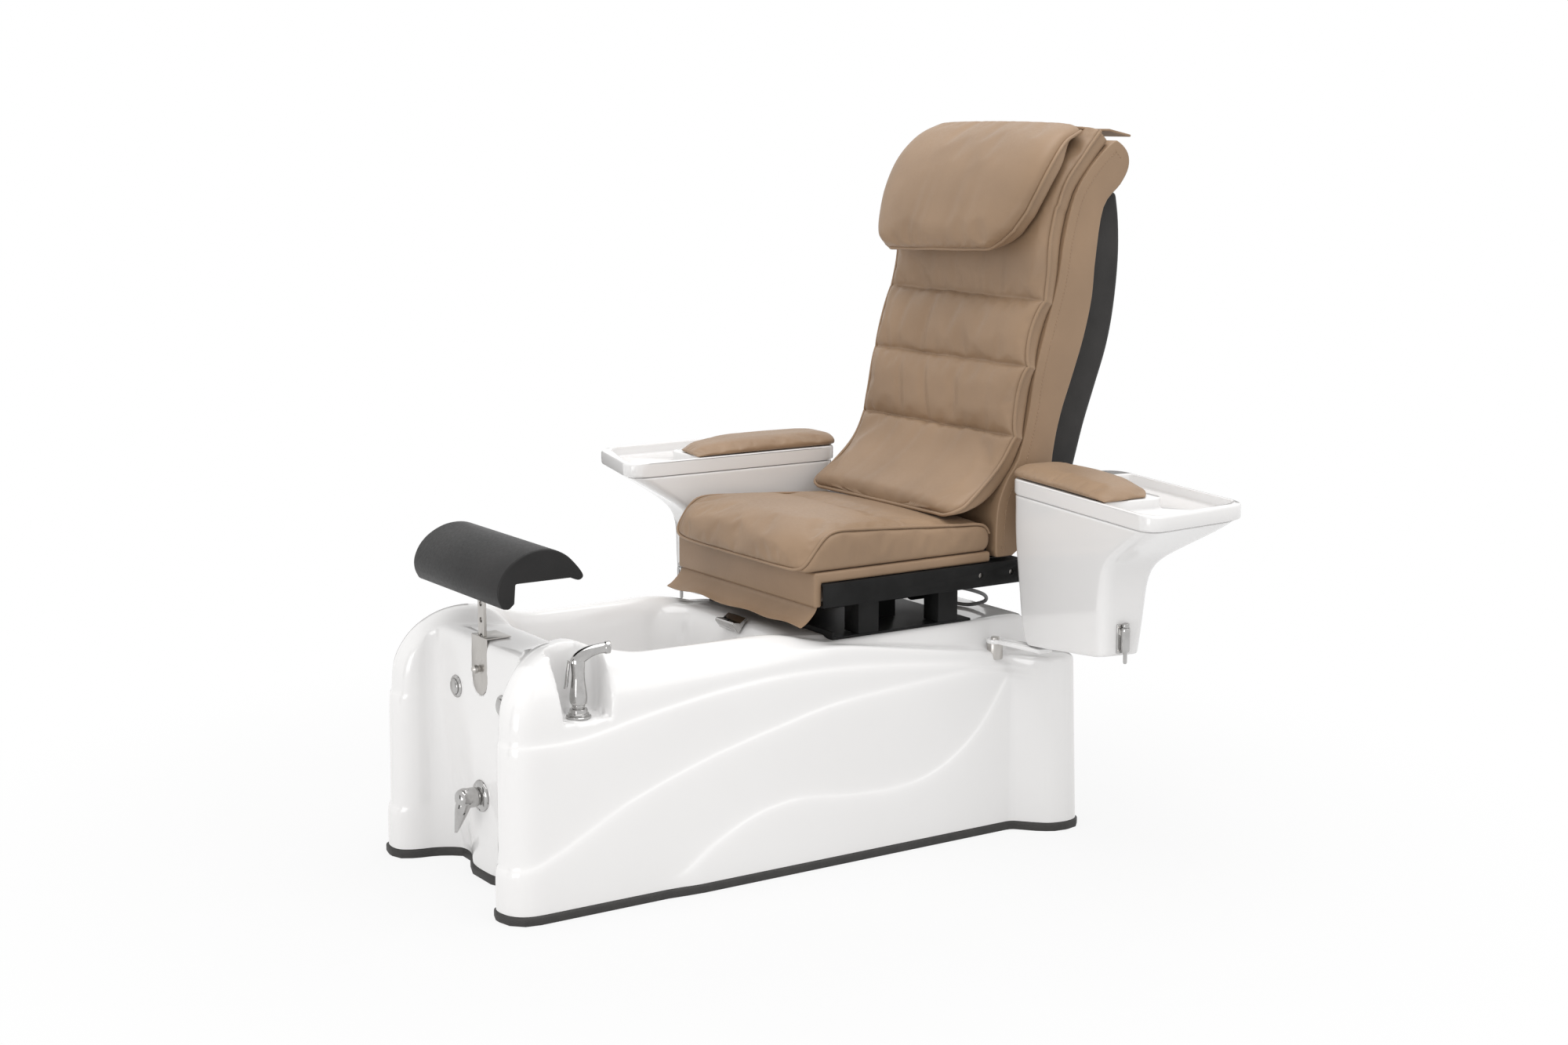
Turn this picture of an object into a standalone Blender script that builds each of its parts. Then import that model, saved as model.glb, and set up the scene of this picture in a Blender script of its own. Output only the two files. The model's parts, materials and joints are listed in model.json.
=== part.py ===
"""Electric pedicure spa chair: moulded foot-tub base, sliding and reclining seat, swing-out arms.

Metres, +Z up. The floor is z = 0, x = 0 is the plane of symmetry, and the sitter faces -Y.
At rest the left arm is closed and the right arm is swung open.
"""

import math

import bmesh
import bpy
import numpy as np
from mathutils import Matrix, Vector

for leftover in list(bpy.data.objects):
    bpy.data.objects.remove(leftover, do_unlink=True)

# Driving dimensions: fits
GAP = 0.0003
SLIDE_CLEAR = 0.001
BORE_CLEAR = 0.0005

# Driving dimensions: the seat's width, and the widths of the base and the back that follow it
SEAT_W = 0.54
SEAT_X = SEAT_W / 2
WALL_X = SEAT_X + 0.015
COLUMN_X = WALL_X + 0.080
COLUMN_FLARE = 0.012
LEG_INNER_X = WALL_X - 0.090
TUB_X = WALL_X - 0.079
DECK_X = SEAT_X - 0.028
BACK_W = SEAT_W - 0.010
SHELL_W = BACK_W - 0.060
HINGE_PIN_X = SEAT_X - 0.0415
BACK_PLATE_X = HINGE_PIN_X - 0.0385
SPRAYER_X = WALL_X - 0.035

# Driving dimensions: base, in plan
PANEL_Y = -0.565
LEG_FRONT_Y = -0.635
COLUMN_Y = 0.513
COLUMN_RUN = 0.055
BASE_REAR_Y = 0.645
TUB_FRONT_Y = -0.43
TUB_REAR_Y = 0.035
SIDE_ROOM_Y = -0.40

# Driving dimensions: base, heights and steps
TRIM_H = 0.018
TRIM_OUT = 0.004
TRIM_IN = 0.014
BOARD_T = 0.015
BRIDGE_Z = 0.486
LOBE_Z = 0.512
RIM_Z = 0.470
DECK_Z = 0.442
LEDGE_Z = 0.376
TUB_FLOOR_Z = 0.165
STEP_OUT = 0.008
STEP_HALF = 0.005
TOE_IN = 0.035
TOE_Z = 0.24
SHELL_T = 0.020

# Driving dimensions: seat and its slide
PAN_T = 0.005
PAN_REAR_Y = 0.455
LIP_UP = 0.017
POST_H = 0.071
POST_W = 0.050
POST_Y = (0.194, 0.395)
RAIL_H = 0.048
RAIL_T = 0.004
RAIL_DEPTH = 0.046
RAIL_FRONT_Y = 0.060
RAIL_REAR_Y = 0.570
RAIL_HOLE_R = 0.006
RAIL_HOLE_Y = (0.455, 0.535)
SLIDER_T = 0.012
SEAT_FRONT_Y = 0.012
SEAT_REAR_Y = 0.485
PANEL_T = 0.022
APRON_T = 0.018
CUSHION_T = 0.060
SEAT_CROWN = 0.008
SEAM_IN = 0.008
SKIRT_T = 0.004
FLAP_Z = 0.482

# Driving dimensions: actuators
SLIDE_ROD_R = 0.008
SLIDE_BODY_R = 0.020
SLIDE_MOTOR_R = 0.026
SLIDE_BODY_L = 0.22
SLIDE_L = 0.26
SLIDE_BORE_L = 0.195
SLIDE_X = 0.12
SLIDE_Y = 0.160
SLIDE_UP = 0.052
ROD_R = 0.010
RECLINE_BODY_R = 0.022
RECLINE_MOTOR_R = 0.028
RECLINE_MOTOR_L = 0.05
RECLINE_L = 0.28
RECLINE_Y = 0.115
LEVER_L = 0.095
CABLE_R = 0.004

# Driving dimensions: backrest
OVERLAY_T = 0.050
HINGE_Y = 0.540
HINGE_TUBE_R = 0.014
HINGE_PIN_R = 0.009
HINGE_CHEEK_R = 0.022
HINGE_UP = 0.018
BACK_PLATE_Z = 0.625
STRAP_IN = 0.040

# Driving dimensions: arms
ARM_CLEAR = 0.030
ARM_REAR_Y = 0.477
ARM_L = 0.533
ARM_W = 0.265
ARM_SLANT = 0.070
ARM_CORNER = 0.050
ARM_TOP_Z = 0.745
LIP_H = 0.031
LIP_T = 0.010
TRAY_DEPTH = 0.022
CONSOLE_Z = 0.406
CONSOLE_RISE = 0.14
LEG_FRONT_A = 0.362
ARM_PAD_L = 0.36
ARM_PAD_W = 0.150
ARM_PAD_T = 0.048
PIVOT_OUT = 0.005
PIVOT_Y = 0.490
PIVOT_FOOT_R = 0.0162
PIVOT_SEAT = 0.012
PIN_R = 0.009
PLATE_T = 0.008
ARM_OPEN = math.radians(80.4)
LATCH_B = 0.050
LATCH_Z = 0.472
LATCH_W = 0.028
BOLT_R = 0.004
BARREL_R = 0.009

# Driving dimensions: footrest
FOOT_W = 0.370
FOOT_POST_W = 0.025
FOOT_POST_T = 0.006
FOOT_POST_Y = -0.555
FOOT_UNDER_Z = 0.623
POST_HOLE_R = 0.0055
POST_HOLE_STEP = 0.032
POST_HOLES = 5
BRACKET_W = 0.064
BRACKET_T = 0.003
BRACKET_TAB = 0.045
BRACKET_FOOT_Z = 0.373
RECESS = 0.005
CLAMP_Z = 0.425
CLAMP_R = 0.0040

# Driving dimensions: controls and plumbing
BUTTON_X = 0.100
BUTTON_Z = 0.370
BUTTON_R = 0.016
BEZEL_R = 0.023
FAUCET_Z = 0.170
STEM_R = 0.009
ESCUTCHEON_R = 0.032
SPRAYER_Y = -0.482
SPRAYER_R = 0.011
POCKET_Z = 0.370
POCKET_BEND = 0.025
DRAIN_Y = -0.20
DRAIN_R = 0.020
PUMP_R = 0.055
SPOUT_X = 0.034

# Derived places
PAN_Z = DECK_Z + GAP
PAN_TOP = PAN_Z + PAN_T
RAIL_Z = PAN_TOP + POST_H
RAIL_TOP = RAIL_Z + RAIL_H
SEAT_PANEL_Z = RAIL_TOP + SLIDE_CLEAR
SEAT_Z = SEAT_PANEL_Z + PANEL_T + GAP
HINGE_Z = SEAT_PANEL_Z + HINGE_UP
RECLINE_Z = HINGE_Z - LEVER_L
SLIDE_Z = PAN_TOP + SLIDE_UP
SLIDER_X = SEAT_X - RAIL_DEPTH - SLIDE_CLEAR
PAN_X = DECK_X - 0.006
ARM_X = SEAT_X + ARM_CLEAR
PIVOT_X = SEAT_X + PIVOT_OUT
CONSOLE_TOP = ARM_TOP_Z - LIP_H
TAB_Z = BRIDGE_Z + GAP
PLATE_Y = PANEL_Y + RECESS - GAP - BRACKET_T
SIDES = (("left", -1), ("right", 1))

FINISHES = {
    "acrylic": ((0.86, 0.86, 0.86), 0.15, 0.0),
    "rubber": ((0.03, 0.03, 0.03), 0.75, 0.0),
    "board": ((0.10, 0.08, 0.06), 0.8, 0.0),
    "chrome": ((0.75, 0.75, 0.76), 0.08, 1.0),
    "stainless": ((0.55, 0.54, 0.52), 0.3, 1.0),
    "brass": ((0.60, 0.45, 0.20), 0.3, 1.0),
    "black_metal": ((0.02, 0.02, 0.02), 0.45, 0.3),
    "black_plastic": ((0.03, 0.03, 0.03), 0.5, 0.0),
    "grey_plastic": ((0.30, 0.30, 0.30), 0.5, 0.0),
    "tan_leather": ((0.38, 0.25, 0.155), 0.5, 0.0),
    "black_vinyl": ((0.035, 0.035, 0.038), 0.5, 0.0),
}


# Making pieces

def material(finish):
    found = bpy.data.materials.get(finish)
    if found:
        return found
    colour, rough, metal = FINISHES[finish]
    made = bpy.data.materials.new(finish)
    made.use_nodes = True
    shader = made.node_tree.nodes["Principled BSDF"]
    shader.inputs["Base Color"].default_value = (*colour, 1)
    shader.inputs["Roughness"].default_value = rough
    shader.inputs["Metallic"].default_value = metal
    made.diffuse_color = (*colour, 1)
    return made


def place(name, mesh, finish):
    """A named object that holds the mesh, shaded smooth where it is round. With no finish it is a cutter."""
    mesh.shade_smooth()
    mesh.set_sharp_from_angle(angle=math.radians(35))
    piece = bpy.data.objects.new(name, mesh)
    if finish:
        mesh.materials.append(material(finish))
    else:
        piece.hide_render = True
        piece.display_type = "WIRE"
    bpy.context.scene.collection.objects.link(piece)
    return piece


def from_bmesh(name, work, finish):
    bmesh.ops.recalc_face_normals(work, faces=work.faces[:])
    mesh = bpy.data.meshes.new(name)
    work.to_mesh(mesh)
    work.free()
    return place(name, mesh, finish)


def bridge(work, low, high):
    """Faces between two rings of equally many vertices."""
    for i in range(len(low)):
        j = (i + 1) % len(low)
        work.faces.new((low[i], low[j], high[j], high[i]))


def loft(name, rings, finish):
    """A closed body through rings of equally many points, with flat ends."""
    work = bmesh.new()
    rows = [[work.verts.new(point) for point in ring] for ring in rings]
    for low, high in zip(rows, rows[1:]):
        bridge(work, low, high)
    work.faces.new(rows[0])
    work.faces.new(rows[-1])
    return from_bmesh(name, work, finish)


def prism(name, outline, axis, low, high, finish):
    """The outline, in the two other axes' order, extruded along an axis."""
    def at(point, height):
        spot = list(point)
        spot.insert("xyz".index(axis), height)
        return spot
    return loft(name, [[at(p, low) for p in outline], [at(p, high) for p in outline]], finish)


def box(name, low, high, finish):
    outline = [(low[0], low[1]), (high[0], low[1]), (high[0], high[1]), (low[0], high[1])]
    return prism(name, outline, "z", low[2], high[2], finish)


def turned(name, profile, centre, axis, finish, steps=24):
    """A closed profile of (radius, height) turned about an axis through the centre."""
    frame = {"x": Matrix.Rotation(math.pi / 2, 4, "Y"), "z": Matrix.Identity(4),
             "y": Matrix.Rotation(-math.pi / 2, 4, "X")}[axis]
    work = bmesh.new()
    spokes = [math.tau * k / steps for k in range(steps)]
    rows = []
    for radius, height in profile:
        turn = [(radius * math.cos(a), radius * math.sin(a), height) for a in spokes]
        rows.append([work.verts.new(p) for p in (turn if radius else [(0, 0, height)])])
    for low, high in zip(rows, rows[1:] + rows[:1]):
        if len(low) == 1 and len(high) == 1:
            continue
        for k in range(steps):
            n = (k + 1) % steps
            corners = [low[k % len(low)], low[n % len(low)], high[n % len(high)], high[k % len(high)]]
            work.faces.new(list(dict.fromkeys(corners)))
    work.transform(Matrix.Translation(centre) @ frame)
    return from_bmesh(name, work, finish)


def rod(name, radius, low, high, centre, axis, finish, steps=24):
    """A plain round bar, from low to high along an axis through the centre."""
    return turned(name, [(0, low), (radius, low), (radius, high), (0, high)], centre, axis, finish, steps)


def oval(centre, across, up, steps):
    """A ring of points about the centre, reaching as far as the two vectors."""
    turns = [math.tau * k / steps for k in range(steps)]
    return [centre + across * math.cos(a) + up * math.sin(a) for a in turns]


def boolean(piece, other, operation):
    change = piece.modifiers.new(operation.title(), "BOOLEAN")
    change.operation = operation
    change.solver = "EXACT"
    change.object = other
    other.hide_render = True
    other.display_type = "WIRE"
    return piece


def cut(piece, cutter):
    return boolean(piece, cutter, "DIFFERENCE")


def join(piece, other):
    return boolean(piece, other, "UNION")


def bevel(piece, width, segments=2, angle=40):
    change = piece.modifiers.new("Bevel", "BEVEL")
    change.width = width
    change.segments = segments
    change.limit_method = "ANGLE"
    change.angle_limit = math.radians(angle)
    return piece


def smooth_path(points, per_span):
    """A Catmull-Rom curve through the points."""
    spots = [2 * Vector(points[0]) - Vector(points[1]), *map(Vector, points),
             2 * Vector(points[-1]) - Vector(points[-2])]
    path = []
    for a, b, c, d in zip(spots, spots[1:], spots[2:], spots[3:]):
        for k in range(per_span):
            t = k / per_span
            path.append(0.5 * (2 * b + (c - a) * t + (2 * a - 5 * b + 4 * c - d) * t * t
                               + (3 * b - 3 * c + d - a) * t ** 3))
    return path + [spots[-2]]


def tube(name, points, radius, finish, per_span=4, resolution=2):
    curve = bpy.data.curves.new(name, "CURVE")
    curve.dimensions = "3D"
    curve.bevel_depth = radius
    curve.bevel_resolution = resolution
    curve.use_fill_caps = True
    path = smooth_path(points, per_span)
    spline = curve.splines.new("POLY")
    spline.points.add(len(path) - 1)
    for spot, point in zip(spline.points, path):
        spot.co = (*point, 1)
    curve.materials.append(material(finish))
    piece = bpy.data.objects.new(name, curve)
    bpy.context.scene.collection.objects.link(piece)
    return piece


def through(value, stations):
    """A smooth curve of (place, height) stations, read at a place and level past its ends."""
    places = [s[0] for s in stations]
    if value <= places[0]:
        return stations[0][1]
    if value >= places[-1]:
        return stations[-1][1]
    fine = 32
    k = int(np.searchsorted(places, value)) - 1
    t = (value - places[k]) / (places[k + 1] - places[k])
    return float(smooth_path([(0, 0, s[1]) for s in stations], fine)[fine * k + round(fine * t)].z)


def ease(low, high, value):
    t = min(max((value - low) / (high - low), 0), 1)
    return t * t * (3 - 2 * t)


def carrier(name, spot, pieces, turn=0.0):
    """An empty on a joint's axis that carries the pieces of one moving body."""
    empty = bpy.data.objects.new(name, None)
    empty.location = spot
    empty.rotation_euler.z = turn
    bpy.context.scene.collection.objects.link(empty)
    for piece in pieces:
        piece.parent = empty
        piece.matrix_parent_inverse = Matrix.Translation(-Vector(spot))
    return empty


# Base shell: rings of stations that run from the front centre to the rear centre and back. Each ring is a
# list of corners (x, y, z, setback), and the stations between two corners are counted in STRAIGHTS.

STRAIGHTS = (4, 1, 1, 4, 6, 2, 6, 1, 1, 2)
ROUNDING = 3
ROUND_SHARE = 0.48

WALL_RING = [
    (0, PANEL_Y, 0.462), (LEG_INNER_X - 0.01, PANEL_Y, 0.462, 0.03),
    (LEG_INNER_X + 0.005, LEG_FRONT_Y, 0.40, 0.035), (WALL_X, LEG_FRONT_Y, 0.395, 0.06),
    (WALL_X, -0.40, 0.408, 0.08), (WALL_X, -0.03, 0.428, 0.06), (WALL_X, 0.10, 0.436, 0.06),
    (WALL_X, COLUMN_Y, LEDGE_Z - 0.006, 0.015),
    (COLUMN_X, COLUMN_Y + COLUMN_RUN, LEDGE_Z - 0.012, 0.04),
    (COLUMN_X, BASE_REAR_Y, LEDGE_Z - 0.012, 0.07), (0, BASE_REAR_Y, LEDGE_Z - 0.012),
]
SHOULDER_RING = [
    (0, PANEL_Y + 0.003, 0.478), (LEG_INNER_X - 0.017, PANEL_Y + 0.003, 0.478, 0.03),
    (LEG_INNER_X + 0.008, LEG_FRONT_Y + 0.027, 0.45, 0.03),
    (WALL_X - 0.013, LEG_FRONT_Y + 0.027, 0.447, 0.055), (WALL_X - 0.013, -0.40, 0.432, 0.08),
    (WALL_X - 0.011, -0.03, 0.442, 0.06), (WALL_X - 0.007, 0.10, 0.444, 0.05),
    (WALL_X - 0.008, COLUMN_Y + 0.01, LEDGE_Z - 0.001, 0.012),
    (COLUMN_X - 0.010, COLUMN_Y + COLUMN_RUN + 0.006, LEDGE_Z - 0.001, 0.035),
    (COLUMN_X - 0.010, BASE_REAR_Y - 0.01, LEDGE_Z - 0.001, 0.06), (0, BASE_REAR_Y - 0.01, LEDGE_Z - 0.001),
]
CREST_RING = [
    (0, PANEL_Y + 0.013, BRIDGE_Z - 0.001),
    (LEG_INNER_X - 0.03, PANEL_Y + 0.013, BRIDGE_Z - 0.001, 0.03),
    (LEG_INNER_X + 0.01, LEG_FRONT_Y + 0.06, LOBE_Z - 0.030, 0.025),
    (WALL_X - 0.03, LEG_FRONT_Y + 0.06, LOBE_Z - 0.032, 0.05), (WALL_X - 0.029, -0.40, 0.455, 0.08),
    (WALL_X - 0.029, -0.03, 0.460, 0.06), (DECK_X + 0.018, 0.09, 0.440, 0.03),
    (DECK_X + 0.010, COLUMN_Y + 0.01, LEDGE_Z, 0.01), (DECK_X + 0.010, COLUMN_Y + 0.04, LEDGE_Z, 0.01),
    (DECK_X + 0.010, BASE_REAR_Y - 0.025, LEDGE_Z, 0.03), (0, BASE_REAR_Y - 0.025, LEDGE_Z),
]
RIM_RING = [
    (0, PANEL_Y + 0.04, BRIDGE_Z), (0.135, PANEL_Y + 0.04, BRIDGE_Z, 0.02),
    (LEG_INNER_X - 0.005, PANEL_Y + 0.035, LOBE_Z - 0.006, 0.02),
    (WALL_X - 0.047, PANEL_Y + 0.035, LOBE_Z - 0.007, 0.05), (WALL_X - 0.047, -0.385, RIM_Z, 0.08),
    (WALL_X - 0.045, -0.03, RIM_Z + 0.002, 0.05), (DECK_X + 0.006, 0.09, DECK_Z, 0.03),
    (DECK_X, COLUMN_Y, DECK_Z, 0.01), (DECK_X, COLUMN_Y + 0.03, DECK_Z, 0.01),
    (DECK_X, BASE_REAR_Y - 0.043, DECK_Z, 0.03), (0, BASE_REAR_Y - 0.043, DECK_Z),
]
INNER_RING = [
    (0, TUB_FRONT_Y - 0.03, BRIDGE_Z - 0.003), (0.11, TUB_FRONT_Y - 0.03, BRIDGE_Z - 0.002, 0.02),
    (0.165, TUB_FRONT_Y - 0.04, LOBE_Z - 0.002, 0.02), (TUB_X + 0.016, TUB_FRONT_Y - 0.035, LOBE_Z, 0.05),
    (TUB_X + 0.016, -0.37, RIM_Z + 0.002, 0.07), (TUB_X + 0.018, -0.03, RIM_Z + 0.003, 0.05),
    (DECK_X - 0.012, 0.08, DECK_Z, 0.02), (DECK_X - 0.012, COLUMN_Y - 0.01, DECK_Z, 0.01),
    (DECK_X - 0.012, COLUMN_Y + 0.02, DECK_Z, 0.01), (DECK_X - 0.012, BASE_REAR_Y - 0.06, DECK_Z, 0.03),
    (0, BASE_REAR_Y - 0.06, DECK_Z),
]
DECK_RING = [
    (0, TUB_FRONT_Y - 0.012, BRIDGE_Z - 0.008), (0.095, TUB_FRONT_Y - 0.012, BRIDGE_Z - 0.008, 0.02),
    (0.146, TUB_FRONT_Y - 0.015, 0.496, 0.02), (TUB_X + 0.008, TUB_FRONT_Y - 0.004, 0.495, 0.05),
    (TUB_X + 0.009, -0.345, RIM_Z, 0.05), (TUB_X + 0.010, -0.04, RIM_Z, 0.04),
    (TUB_X + 0.010, TUB_REAR_Y + 0.045, DECK_Z, 0.02), (TUB_X - 0.01, TUB_REAR_Y + 0.060, DECK_Z, 0.02),
    (0.14, TUB_REAR_Y + 0.06, DECK_Z, 0.02), (0.07, TUB_REAR_Y + 0.06, DECK_Z, 0.02),
    (0, TUB_REAR_Y + 0.06, DECK_Z),
]
# The tub's wall from its edge down to its floor: how far it is drawn in, its height, and its rear's set-in
TUB_EDGE_Z = RIM_Z - 0.008
TUB_SLOPE_Z = 0.42
TUB_SLOPE_IN = 0.030
TUB_LEVELS = [
    (0.0, TUB_EDGE_Z, 0.0), (0.010, TUB_SLOPE_Z, TUB_SLOPE_IN), (0.030, TUB_FLOOR_Z + 0.045, 0.050),
    (0.042, TUB_FLOOR_Z + 0.012, 0.062), (0.062, TUB_FLOOR_Z, 0.082),
]
# The three sweeping steps of the side wall, as (y, z) stations
UPPER_STEP = [(-0.62, 0.335), (-0.50, 0.336), (-0.36, 0.362), (-0.20, 0.386), (-0.03, 0.398), (0.16, 0.391),
              (0.36, 0.371), (0.50, 0.356)]
MIDDLE_STEP = [(-0.64, 0.098), (-0.56, 0.125), (-0.42, 0.195), (-0.25, 0.253), (-0.125, 0.287), (0.06, 0.325),
               (0.25, 0.341), (0.50, 0.352)]
LOWER_STEP = [(-0.29, 0.040), (-0.23, 0.085), (-0.13, 0.132), (-0.02, 0.150), (0.09, 0.139), (0.20, 0.134),
              (0.28, 0.142), (0.35, 0.169), (0.41, 0.210), (0.46, 0.265), (0.50, 0.335)]
# Where the steps die out on the column and the lower step begins, along y, and the toe scoops, along x
STEP_FADE = (COLUMN_Y, COLUMN_Y + COLUMN_RUN)
LOWER_FADE_IN = (-0.31, -0.26)
SCOOP_X = (0.036, 0.13, 0.15)


def half_ring(corners):
    """Stations along the corners, each corner rounded within its setback."""
    spots = [Vector(c[:3]) for c in corners]
    stations = []
    leave = spots[0]
    for k in range(1, len(spots) - 1):
        to_before, to_after = spots[k - 1] - spots[k], spots[k + 1] - spots[k]
        setback = min(corners[k][3], ROUND_SHARE * to_before.length, ROUND_SHARE * to_after.length)
        before = spots[k] + to_before.normalized() * setback
        after = spots[k] + to_after.normalized() * setback
        stations += [leave.lerp(before, i / STRAIGHTS[k - 1]) for i in range(STRAIGHTS[k - 1])]
        for i in range(ROUNDING):
            t = i / ROUNDING
            stations.append(before * (1 - t) ** 2 + spots[k] * 2 * t * (1 - t) + after * t * t)
        leave = after
    last = STRAIGHTS[len(spots) - 2]
    return stations + [leave.lerp(spots[-1], i / last) for i in range(last + 1)]


def whole_ring(corners):
    right = half_ring(corners)
    left = [Vector((-p.x, p.y, p.z)) for p in right[-2:0:-1]]
    return right + left


def tub_ring(inset, height, rear_inset):
    """The tub's outline drawn in by the inset, and more at its sloping rear."""
    rear = TUB_REAR_Y - rear_inset
    x = TUB_X - inset
    front = TUB_FRONT_Y + inset
    return [(0, front, height), (0.08, front, height, 0.02), (0.13, front + 0.004, height, 0.02),
            (x, front + 0.03, height, 0.06), (x, -0.33, height, 0.04), (x, -0.11, height, 0.03),
            (x - 0.004, rear - 0.06, height, 0.02), (x - 0.035, rear - 0.01, height, 0.02),
            (0.12, rear, height, 0.02), (0.06, rear, height, 0.02), (0, rear, height)]


def outward(ring, i):
    """The level direction that points out of a ring at one of its stations."""
    along = ring[(i + 1) % len(ring)] - ring[i - 1]
    return Vector((along.y, -along.x, 0)).normalized()


def wall_rings(plan):
    """Rings of the outer wall, from its foot to the top edge, with its steps and the toe scoops."""
    levels = [[] for _ in range(7)]
    for i, top in enumerate(plan):
        y, x = top.y, abs(top.x)
        beside = COLUMN_Y - COLUMN_RUN < y < COLUMN_Y + COLUMN_RUN
        out = Vector((math.copysign(1, top.x), 0, 0)) if beside else outward(plan, i)
        front = y < PANEL_Y + 0.05
        scooped = ease(*SCOOP_X[:2], x) * (1 - ease(SCOOP_X[2], LEG_INNER_X, x)) if front else 0.0
        on_leg = ease(LEG_INNER_X, LEG_INNER_X + 0.03, x) if front else 1.0
        on_column = ease(*STEP_FADE, y)
        upper = on_leg * (1 - on_column)
        lower = ease(*LOWER_FADE_IN, y) * (1 - on_column)
        heights = [top.z]
        for step in (UPPER_STEP, MIDDLE_STEP, LOWER_STEP):
            heights.append(min(through(y, step), heights[-1] - 3 * STEP_HALF))
        offset = 0.0
        marks = []
        for height, share in zip(heights[1:], (upper, upper, lower)):
            marks.append((height + STEP_HALF, offset))
            offset += STEP_OUT * share
            marks.append((height - STEP_HALF, offset))
        marks.append((TRIM_H + GAP, offset))
        for level, (height, shift) in zip(levels, reversed(marks)):
            flare = COLUMN_FLARE * on_column * (1 - height / LEDGE_Z)
            spot = top + out * (shift + flare)
            toe = TOE_IN * scooped * (1 - ease(TRIM_H, TOE_Z, height))
            level.append(Vector((spot.x, spot.y + toe, height)))
    return levels


def hollows():
    """The rooms under the tub, behind it, inside the side walls and behind the front panel, open below."""
    under = TRIM_H - 0.01
    rear = BASE_REAR_Y - 0.045 - SHELL_T
    rooms = [
        box("under_tub", (-TUB_X, PANEL_Y + TOE_IN + SHELL_T, under),
            (TUB_X, rear, TUB_FLOOR_Z - SHELL_T), None),
        box("machine_room", (SHELL_T - DECK_X, TUB_REAR_Y + 0.06, under),
            (DECK_X - SHELL_T, rear, DECK_Z - SHELL_T), None),
        box("valve_room", (-0.07, PANEL_Y + SHELL_T, under),
            (0.07, TUB_FRONT_Y - SHELL_T, BRIDGE_Z - 0.05), None),
    ]
    for name, side in SIDES:
        inner, outer = sorted((side * (TUB_X + SHELL_T), side * (WALL_X - SHELL_T)))
        rooms.append(box(f"{name}_side_room", (inner, SIDE_ROOM_Y, under),
                         (outer, PIVOT_Y - 2 * SHELL_T, LEDGE_Z), None))
    return rooms


def sprayer_pocket():
    """The D-shaped pocket in the right leg's top, open to the outside."""
    def ring(height, grow):
        inner, outer = SPRAYER_X - 0.034 - grow, WALL_X + 0.05
        front, rear = SPRAYER_Y - 0.048 - grow, SPRAYER_Y + 0.052 + grow
        turns = [math.pi / 2 * k / 4 for k in range(5)]
        reach = [(POCKET_BEND * (1 - math.sin(a)), POCKET_BEND * (1 - math.cos(a))) for a in turns]
        rear_arc = [(inner + s, rear - c) for s, c in reach]
        front_arc = [(inner + c, front + s) for s, c in reach]
        return [(x, y, height) for x, y in [(outer, rear)] + rear_arc + front_arc + [(outer, front)]]
    return loft("sprayer_pocket", [ring(POCKET_Z, 0.0), ring(LOBE_Z + 0.05, 0.012)], None)


def plate_outline(half, foot, top):
    """A plate as (x, z), square at its top and round at its foot."""
    turns = [math.pi + math.pi * k / 10 for k in range(11)]
    arc = [(half * math.cos(a), foot + half * (1 + math.sin(a))) for a in turns]
    return arc + [(half, top), (-half, top)]


def base_shell(walls, plan):
    rings = [SHOULDER_RING, CREST_RING, RIM_RING, INNER_RING, DECK_RING]
    rings += [tub_ring(*level) for level in TUB_LEVELS]
    shell = loft("base_shell", walls + [plan] + [whole_ring(corners) for corners in rings], "acrylic")
    for room in hollows():
        cut(shell, room)
    cut(shell, sprayer_pocket())
    recess = plate_outline(BRACKET_W / 2 + SLIDE_CLEAR, BRACKET_FOOT_Z - SLIDE_CLEAR, BRIDGE_Z + 0.02)
    cut(shell, prism("bracket_recess", recess, "y", PANEL_Y - 0.02, PANEL_Y + RECESS, None))
    pocket_x = FOOT_POST_W / 2 + 6 * SLIDE_CLEAR
    cut(shell, box("post_pocket", (-pocket_x, PANEL_Y - 0.02, BUTTON_Z - 0.01),
                   (pocket_x, PANEL_Y + SHELL_T + 0.005, BRIDGE_Z + 0.02), None))
    for name, side in SIDES:
        cut(shell, rod(f"{name}_button_hole", BUTTON_R + 0.0025, -0.03, 0.04,
                       (side * BUTTON_X, PANEL_Y, BUTTON_Z), "y", None))
        cut(shell, rod(f"{name}_pivot_seat", PIVOT_FOOT_R + GAP, -PIVOT_SEAT, 0.04,
                       (side * PIVOT_X, PIVOT_Y, LEDGE_Z), "z", None))
    cut(shell, rod("stem_hole", 0.020, -0.03, 0.04, (0, PANEL_Y, FAUCET_Z), "y", None))
    cut(shell, rod("drain_hole", DRAIN_R, -0.05, 0.02, (0, DRAIN_Y, TUB_FLOOR_Z), "z", None, 20))


def base_edging(foot):
    """The rubber edging under the wall's foot, and the board that closes the bottom inside it."""
    outs = [outward(foot, i) for i in range(len(foot))]

    def ring(shift, height):
        return [Vector((p.x + o.x * shift, p.y + o.y * shift, height)) for p, o in zip(foot, outs)]

    chamfer = TRIM_OUT
    section = [(TRIM_OUT, 0), (TRIM_OUT, TRIM_H - chamfer), (TRIM_OUT - chamfer, TRIM_H), (-TRIM_IN, TRIM_H),
               (-TRIM_IN, 0)]
    work = bmesh.new()
    rows = [[work.verts.new(p) for p in ring(shift, height)] for shift, height in section]
    for low, high in zip(rows, rows[1:] + rows[:1]):
        bridge(work, low, high)
    from_bmesh("bottom_trim", work, "rubber")
    inset = -TRIM_IN - GAP
    loft("base_board", [ring(inset, 0), ring(inset, BOARD_T)], "board")


# Plumbing: the spout on the tub's sloping rear, as (distance down the slope, height off it), drain and pump

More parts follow.
